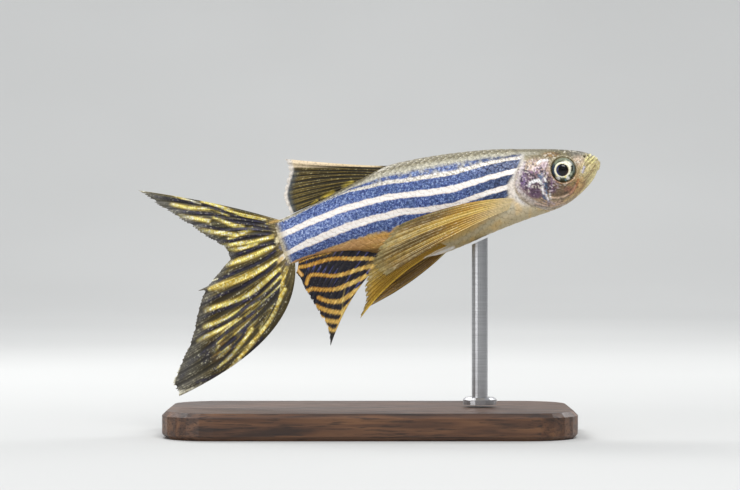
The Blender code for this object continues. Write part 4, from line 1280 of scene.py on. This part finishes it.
def eye_colours(reach, turn):
    """Pupil, bright ring and grey outer iris; turn is 0 to the snout and grows upwards."""
    noise = value_noise(reach * 3 * np.cos(turn) + 9, reach * 3 * np.sin(turn) + 9, 0.22, 14)
    streak = value_noise(turn * 6 + 20, reach * 3, 0.8, 15)
    def sector(centre, width):
        away = np.abs((turn - math.radians(centre) + math.pi) % (2 * math.pi) - math.pi)
        return 1 - fade(math.radians(width * 0.5), math.radians(width), away)

    def band(inner, outer):
        inside = 1 - fade(outer - IRIS_BLUR, outer + IRIS_BLUR, reach)
        return fade(inner - IRIS_BLUR, inner + IRIS_BLUR, reach) * inside

    def dab(degrees, place, size):
        away = np.hypot(reach * np.cos(turn) - place * math.cos(math.radians(degrees)),
                        reach * np.sin(turn) - place * math.sin(math.radians(degrees)))
        return 1 - fade(size * 0.5, size * 1.3, away)

    ring = fade(PUPIL - 0.02, PUPIL + 0.02, reach)
    edge = 0.66 + 0.17 * sector(45, 60) - 0.07 * sector(272, 50) + 0.05 * (streak - 0.5)
    colours = paint(
        flat(reach, rgb(112, 124, 108)),
        (fade(0.35, 0.8, streak) * 0.6, rgb(190, 196, 170)),
        ((1 - fade(edge - IRIS_BLUR, edge + IRIS_BLUR, reach)) * ring, rgb(250, 246, 220)),
        (band(0.49, 0.54) * sector(90, 150) * 0.5, rgb(216, 196, 120)),
        (sector(100, 34) * band(0.66, 0.73) * 0.9, rgb(62, 60, 40)),
        (sector(105, 50) * band(0.74, 1.1) * 0.9, rgb(136, 142, 118)),
        # Painted highlight: a white glint at the upper front of the iris.
        (dab(40, 0.76, 0.17), rgb(255, 253, 240)),
        (dab(-2, 0.74, 0.09) + dab(20, 0.8, 0.1) + dab(8, 0.78, 0.09), rgb(18, 18, 22)),
        (sector(10, 50) * band(0.86, 0.98) * 0.7, rgb(92, 104, 112)),
        (sector(183, 46) * band(0.68, 0.92), rgb(70, 84, 104)),
        (sector(165, 26) * band(0.66, 0.74) * 0.8, rgb(34, 36, 40)),
        (sector(205, 80) * band(0.94, 1.0) * 0.95, rgb(222, 228, 188)),
        (sector(265, 70) * band(0.66, 0.95) * 0.8, rgb(60, 62, 46)),
        # Painted highlight: a white glint at the lower rear of the iris.
        (dab(240, 0.79, 0.2), rgb(254, 254, 250)),
        (dab(226, 0.66, 0.1) * 0.8, rgb(236, 226, 168)),
        (dab(296, 0.6, 0.1), rgb(238, 220, 130)),
        # Painted highlight: a white glint at the lower front of the iris.
        (dab(303, 0.78, 0.17), rgb(252, 252, 244)),
        (dab(286, 0.84, 0.08) * 0.9, rgb(110, 164, 176)),
        (sector(-32, 24) * band(0.82, 0.96) * 0.85, rgb(46, 58, 42)),
        (sector(280, 60) * band(0.95, 1.1) * 0.9, rgb(40, 32, 24)),
        (fade(0.5, 0.8, noise) * fade(0.66, 0.74, reach) * 0.35, rgb(84, 88, 72)),
        (1 - ring, rgb(3, 3, 4)))
    blue = (1 - ring) * fade(0.32, 0.44, reach) * sector(185, 80)
    return paint(
        colours,
        (blue * 0.75, rgb(18, 36, 110)),
        ((1 - ring) * fade(0.34, 0.44, reach) * sector(-30, 60) * 0.6, rgb(70, 34, 14)))


def add_eye(side, material):
    """A flattened ball in its socket, with a raised lens in the pupil."""
    station, angle = on_skin(*EYE_CENTRE, side)
    place, normal = skin(station, angle), skin_normal(station, angle)
    outward = np.array([0.0, side, 0.0]) * EYE_TURNED_OUT + normal * (1 - EYE_TURNED_OUT)
    outward /= np.linalg.norm(outward)
    right = np.cross((0, 0, 1), outward)
    right /= np.linalg.norm(right)
    if right[0] < 0:
        right = -right
    up = np.cross(outward, right)
    if up[2] < 0:
        up = -up
    centre = place - outward * EYE_SINK
    tilt = np.linspace(math.pi / 2, -math.pi / 2 * 0.98, EYE_ROWS)[:, None]
    turn = np.linspace(0, 2 * math.pi, EYE_COLUMNS, endpoint=False)[None, :]
    reach = np.cos(tilt) + 0 * turn
    turn = turn + 0 * tilt
    depth = EYE_HALF_THICKNESS * np.sin(tilt) + 0 * turn
    front = tilt > 0
    inside = 1 - reach ** 4
    ahead = reach * np.cos(turn) - PUPIL_SHIFT[0] * inside
    above = reach * np.sin(turn) - PUPIL_SHIFT[1] * inside
    iris = np.hypot(ahead, above)
    lens = LENS_RISE * (1 - fade(0.30, PUPIL, iris)) * front
    groove = -PUPIL_GROOVE * np.exp(-((iris - PUPIL) / GROOVE_WIDTH) ** 2) * front
    points = centre + outward * (depth + lens + groove)[..., None]
    points = points + EYE_RADIUS * reach[..., None] * (np.cos(turn)[..., None] * right
                                                       + np.sin(turn)[..., None] * up)
    radial = np.where(front + 0 * turn > 0, iris, 1.0)
    colours = eye_colours(radial, np.arctan2(above, ahead))
    rim = fade(0.925, 0.95, reach) * front
    colours = paint(
        colours,
        (fade(0.9, 0.925, reach) * front * 0.5, rgb(58, 56, 44)),
        (rim * 0.8, rgb(172, 164, 126)))
    made = make_mesh("eyeball_left" if side > 0 else "eyeball_right", points,
                     grid_quads(EYE_ROWS, EYE_COLUMNS, wrap=True), material, colours)
    face_outward(made)
    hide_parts("eye_left" if side > 0 else "eye_right")


# Materials

# Sockets of the mix node by number
MIX_SHARE, MIX_FIRST, MIX_SECOND, MIX_RESULT = 0, 6, 7, 2


class Look:
    """A material in the making."""

    def __init__(self, name):
        self.made = bpy.data.materials.new(name)
        self.made.use_nodes = True
        self.tree = self.made.node_tree

    def feed(self, socket, value):
        """Links another socket to this one, or sets it to a number, a vector or a colour."""
        if isinstance(value, bpy.types.NodeSocket):
            self.tree.links.new(value, socket)
        else:
            socket.default_value = (*value, 1) if socket.type == "RGBA" else value

    def node(self, kind, inputs, **traits):
        """A new node with its traits, and its inputs by name or number."""
        made = self.tree.nodes.new("ShaderNode" + kind)
        for trait, value in traits.items():
            setattr(made, trait, value)
        for key, value in inputs.items():
            self.feed(made.inputs[key], value)
        return made

    def attribute(self, name, output="Fac"):
        return self.node("Attribute", {}, attribute_name=name).outputs[output]

    def place(self):
        """Where a point stands on its object, in metres."""
        return self.node("TexCoord", {}).outputs["Object"]

    def stretched(self, scale):
        """The same place with each of its three parts scaled."""
        inputs = {"Vector": self.place(), "Scale": scale}
        return self.node("Mapping", inputs).outputs["Vector"]

    def noise(self, scale, detail=2.0, roughness=0.5, distortion=0.0, place=None):
        inputs = {"Vector": self.place() if place is None else place, "Scale": scale,
                  "Detail": detail, "Roughness": roughness, "Distortion": distortion}
        return self.node("TexNoise", inputs).outputs["Fac"]

    def spots(self, scale):
        inputs = {"Vector": self.place(), "Scale": scale}
        return self.node("TexVoronoi", inputs).outputs["Distance"]

    def ramp(self, source, stops):
        """A colour ramp over source, with stops of (place, grey or colour)."""
        node = self.node("ValToRGB", {"Fac": source})
        elements = node.color_ramp.elements
        while len(elements) < len(stops):
            elements.new(0.5)
        for element, (place, value) in zip(elements, stops):
            element.position = place
            element.color = (value, value, value, 1) if np.isscalar(value) else (*value, 1)
        return node.outputs["Color"]

    def mix(self, share, first, second, blend="MIX"):
        inputs = {MIX_SHARE: share, MIX_FIRST: first, MIX_SECOND: second}
        node = self.node("Mix", inputs, data_type="RGBA", blend_type=blend)
        return node.outputs[MIX_RESULT]

    def maths(self, operation, first, second):
        return self.node("Math", {0: first, 1: second}, operation=operation).outputs[0]

    def times(self, first, second):
        return self.maths("MULTIPLY", first, second)

    def bump(self, height, strength, distance):
        inputs = {"Strength": strength, "Distance": distance, "Height": height}
        return self.node("Bump", inputs).outputs["Normal"]

    def finish(self, settings):
        """The finished material, with its main shader's settings by name."""
        for name, value in settings.items():
            self.feed(self.tree.nodes["Principled BSDF"].inputs[name], value)
        return self.made


def stripe_mask(look, place, bands, soft=0.006):
    """1 inside bands of the stripe place, given as (start, end) from 0 to LAST_PLACE."""
    stops = [(0.0, 0.0)]
    for start, end in bands:
        start, end = start / LAST_PLACE, end / LAST_PLACE
        stops += [(start - soft, 0.0), (start + soft, 1.0), (end - soft, 1.0), (end + soft, 0.0)]
    return look.ramp(place, stops)


# Colours of the stripes by how dark their grain is, as (place, colour)
BLUE_GRAIN = [(0.34, rgb(24, 32, 76)), (0.45, rgb(50, 68, 128)), (0.54, rgb(80, 104, 166)),
              (0.66, rgb(166, 184, 218))]
LIGHT_BLUE_GRAIN = [
    (0.36, rgb(56, 74, 136)),
    (0.48, rgb(100, 124, 186)),
    (0.66, rgb(196, 210, 240)),
]
DEEP_BLUE_GRAIN = [(0.36, rgb(14, 18, 40)), (0.5, rgb(36, 50, 86)), (0.66, rgb(88, 104, 138))]
PALE_GRAIN = [(0.3, rgb(222, 202, 192)), (0.48, rgb(244, 232, 222)), (0.66, rgb(254, 248, 242))]


def skin_material():
    """Blue and cream stripes over olive and gold skin, speckled and wet."""
    look = Look("danio_skin")
    tint = look.attribute("tint", "Color")
    place = look.attribute("place")
    shown = look.attribute("stripes")
    deep = look.attribute("deep")
    wobble = look.noise(1600, 2.0)
    shift = look.times(look.maths("SUBTRACT", wobble, 0.5), 0.34)
    ninth = look.maths("DIVIDE", look.maths("ADD", place, shift), LAST_PLACE)
    blue_mask = stripe_mask(look, ninth, [(2.92, 4.08), (4.92, 6.08), (6.92, 8.04)])
    thin_mask = stripe_mask(look, ninth, [(0.95, 2.15)], 0.02)
    first_pale = stripe_mask(look, ninth, [(2, 3)])
    pale_mask = stripe_mask(look, ninth, [(4, 5), (6, 7)])
    grain = look.noise(4200, 3.0, 0.75)
    flecks = look.spots(5200)
    patch = look.noise(900, 2.0)
    blue = look.ramp(grain, BLUE_GRAIN)
    blue = look.mix(look.ramp(patch, [(0.4, 0.0), (0.7, 0.4)]), blue, rgb(66, 92, 128))
    light = look.ramp(grain, LIGHT_BLUE_GRAIN)
    blue = look.mix(look.times(deep, 0.92), blue, look.ramp(grain, DEEP_BLUE_GRAIN))
    blue = look.mix(look.times(deep, -0.7), blue, light)
    core = stripe_mask(look, ninth, [(2.42, 2.62), (4.36, 4.64), (6.4, 6.6)], 0.036)
    pale = look.ramp(grain, PALE_GRAIN)
    pale = look.mix(look.times(core, 0.9), pale, rgb(254, 250, 246))
    low = look.times(shown, look.ramp(ninth, [(0.86, 0.0), (0.9, 0.75)]))
    rough = look.maths("SUBTRACT", 1.0, low)
    dark = look.times(rough, look.ramp(grain, [(0.35, 0.55), (0.52, 0.0)]))
    base = look.mix(dark, tint, look.mix(1.0, tint, rgb(120, 112, 96), "MULTIPLY"))
    base = look.mix(look.ramp(grain, [(0.56, 0.0), (0.75, 0.5)]), base,
                    look.mix(1.0, tint, rgb(120, 116, 100), "ADD"))
    freckled = look.times(look.ramp(flecks, [(0.12, 0.6), (0.3, 0.0)]),
                          look.ramp(ninth, [(0.0, 1.0), (0.3, 1.0), (0.34, 0.12)]))
    base = look.mix(freckled, base, rgb(66, 60, 46))
    dim = look.times(first_pale, look.ramp(grain, [(0.4, 0.3), (0.58, 0.85)]))
    colour = look.mix(look.times(dim, shown), base, pale)
    colour = look.mix(look.times(pale_mask, shown), colour, pale)
    colour = look.mix(look.times(blue_mask, shown), colour, blue)
    broken = look.times(thin_mask, look.ramp(look.noise(1500), [(0.33, 0.4), (0.52, 1.0)]))
    colour = look.mix(look.times(broken, shown), colour, blue)
    return look.finish({"Base Color": colour,
                        "Roughness": look.ramp(grain, [(0.3, 0.55), (0.7, 0.36)]), "Metallic": 0.1,
                        "Coat Weight": 0.12, "Coat Roughness": 0.25,
                        "Normal": look.bump(grain, 0.25, 0.04 * MM)})


def fin_material():
    """Membrane painted by its attributes, with glints on the rays."""
    look = Look("danio_fins")
    tint = look.attribute("tint", "Color")
    ray = look.attribute("ray")
    grain = look.noise(4200, 3.0, 0.65)
    colour = look.mix(look.ramp(grain, [(0.32, 0.4), (0.5, 0.0)]), tint,
                      look.mix(1.0, tint, rgb(110, 104, 96), "MULTIPLY"))
    glint = look.times(ray, look.ramp(grain, [(0.56, 0.0), (0.72, 0.5)]))
    colour = look.mix(glint, colour, look.mix(1.0, tint, rgb(150, 146, 120), "ADD"))
    return look.finish({"Base Color": colour,
                        "Roughness": look.ramp(grain, [(0.3, 0.6), (0.7, 0.4)]),
                        "Specular IOR Level": 0.3, "Coat Weight": 0.05, "Coat Roughness": 0.3,
                        "Normal": look.bump(grain, 0.2, 0.03 * MM)})


def eye_material():
    """Wet eye with a clear coat."""
    look = Look("danio_eye")
    tint = look.attribute("tint", "Color")
    grain = look.noise(5200, 3.0)
    colour = look.mix(look.ramp(grain, [(0.35, 0.25), (0.55, 0.0)]), tint,
                      look.mix(1.0, tint, rgb(130, 124, 110), "MULTIPLY"))
    return look.finish({"Base Color": colour,
                        "Roughness": look.ramp(grain, [(0.3, 0.3), (0.7, 0.16)]),
                        "Specular IOR Level": 0.2, "Coat Weight": 0.45, "Coat Roughness": 0.02})


def wood_material():
    """Oiled walnut with grain along the base."""
    look = Look("stand_walnut")
    along = look.stretched((60, 900, 900))
    rings = look.noise(1.0, 6.0, distortion=0.8, place=along)
    pores = look.noise(6.0, 3.0, place=along)
    colour = look.ramp(rings,
                       [(0.32, rgb(48, 29, 18)), (0.5, rgb(84, 54, 34)), (0.66, rgb(112, 76, 48))])
    colour = look.mix(look.ramp(pores, [(0.36, 0.7), (0.46, 0.0)]), colour, rgb(28, 17, 11))
    return look.finish({"Base Color": colour,
                        "Roughness": look.ramp(pores, [(0.3, 0.62), (0.6, 0.4)]),
                        "Coat Weight": 0.15, "Coat Roughness": 0.3,
                        "Normal": look.bump(pores, 0.3, 0.08 * MM)})


def steel_material():
    """Steel rod brushed round its length."""
    look = Look("stand_steel")
    brush = look.noise(1.0, 4.0, place=look.stretched((300, 300, 9000)))
    colour = look.ramp(brush, [(0.3, rgb(170, 170, 172)), (0.7, rgb(190, 190, 192))])
    return look.finish({"Base Color": colour,
                        "Roughness": look.ramp(brush, [(0.3, 0.34), (0.7, 0.28)]), "Metallic": 1.0,
                        "Normal": look.bump(brush, 0.06, 0.02 * MM)})


# Stage, lights and camera

STAGE_FLAT = 0.5
STAGE_BEND = 0.5
STAGE_TURN = 85
STAGE_COLUMNS = 96
LENS = 130.0
SENSOR = 36.0
MIDDLE = (0, 0, LIFT * MM)

# Name, place, aim, size and power of each light, in metres and watts
LIGHTS = [
    ("key", (0.06, -0.22, 0.26), MIDDLE, 0.18, 0.72),
    ("fill", (-0.26, -0.22, 0.07), MIDDLE, 0.24, 0.3),
    ("rim", (-0.1, 0.14, 0.2), MIDDLE, 0.14, 0.4),
    ("back_left", (0.2, 0.16, 0.16), MIDDLE, 0.16, 0.25),
    ("bowl_glow", (0.0, 0.3, 0.45), (0, 0.9, 0.1), 0.3, 2.2),
]


def add_stage():
    """Pale floor that curves up all round into a wide bowl."""
    look = Look("stage_paper")
    shade = look.ramp(look.noise(8), [(0.3, rgb(198, 198, 196)), (0.7, rgb(202, 202, 200))])
    paper = look.finish({"Base Color": shade, "Roughness": 0.9})
    profile = [(STAGE_FLAT * share, 0.0) for share in (0.02, 0.3, 0.6, 0.9)]
    profile += [(STAGE_FLAT + STAGE_BEND * math.sin(turn), STAGE_BEND * (1 - math.cos(turn)))
                for turn in np.linspace(0, math.radians(STAGE_TURN), 24)]
    around = np.linspace(0, 2 * math.pi, STAGE_COLUMNS, endpoint=False)
    points = [(r * math.cos(a), r * math.sin(a), z) for r, z in profile for a in around]
    faces = grid_quads(len(profile), STAGE_COLUMNS, wrap=True).tolist()
    faces.append(list(range(STAGE_COLUMNS)))
    mesh = bpy.data.meshes.new("stage_bowl")
    mesh.from_pydata(points, [], faces)
    floor = add_object("stage_bowl", mesh, paper)


def add_light(name, place, aim, size, power):
    """A round soft light turned from its place to its aim."""
    lamp = bpy.data.lights.new(name, "AREA")
    lamp.shape = "DISK"
    lamp.size = size
    lamp.energy = power
    made = bpy.data.objects.new(name, lamp)
    made.location = place
    made.rotation_euler = (Vector(aim) - Vector(place)).to_track_quat("-Z", "Y").to_euler()
    bpy.context.scene.collection.objects.link(made)


def add_lights():
    """Soft studio lights and an even, slightly cool sky."""
    for light in LIGHTS:
        add_light(*light)
    world = bpy.data.worlds.new("studio")
    world.use_nodes = True
    sky = world.node_tree.nodes["Background"].inputs
    sky["Color"].default_value = (0.9, 0.94, 1.0, 1)
    sky["Strength"].default_value = 0.5
    bpy.context.scene.world = world
    bpy.context.scene.view_settings.view_transform = "Standard"


def add_camera():
    """A long lens level with the fish, whose frame is the photograph's."""
    camera = bpy.data.cameras.new("camera")
    camera.lens = LENS
    camera.sensor_width = SENSOR
    camera.clip_start = 0.01
    made = bpy.data.objects.new("camera", camera)
    made.location = (0, -FRAME_WIDTH * PIXEL * MM * LENS / SENSOR, LIFT * MM)
    made.rotation_euler = (math.pi / 2, 0, 0)
    bpy.context.scene.collection.objects.link(made)
    bpy.context.scene.camera = made


def main():
    skin_look, fin_look, eye_look = skin_material(), fin_material(), eye_material()
    add_skin(skin_look)
    for side in (-1, 1):
        add_scales(side, skin_look)
        add_eye(side, eye_look)
        add_pectoral_fin(side, fin_look)
        add_pelvic_fin(side, fin_look)
    add_tail_fins(fin_look)
    add_dorsal_fin(fin_look)
    add_anal_fin(fin_look)
    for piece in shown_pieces():
        if piece.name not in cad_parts:
            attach(piece, BODY)
    for node, look in (("stand_base", wood_material()), ("stand_rod", steel_material())):
        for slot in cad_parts[node].material_slots:
            slot.material = look
    add_stage()
    add_lights()
    add_camera()


main()
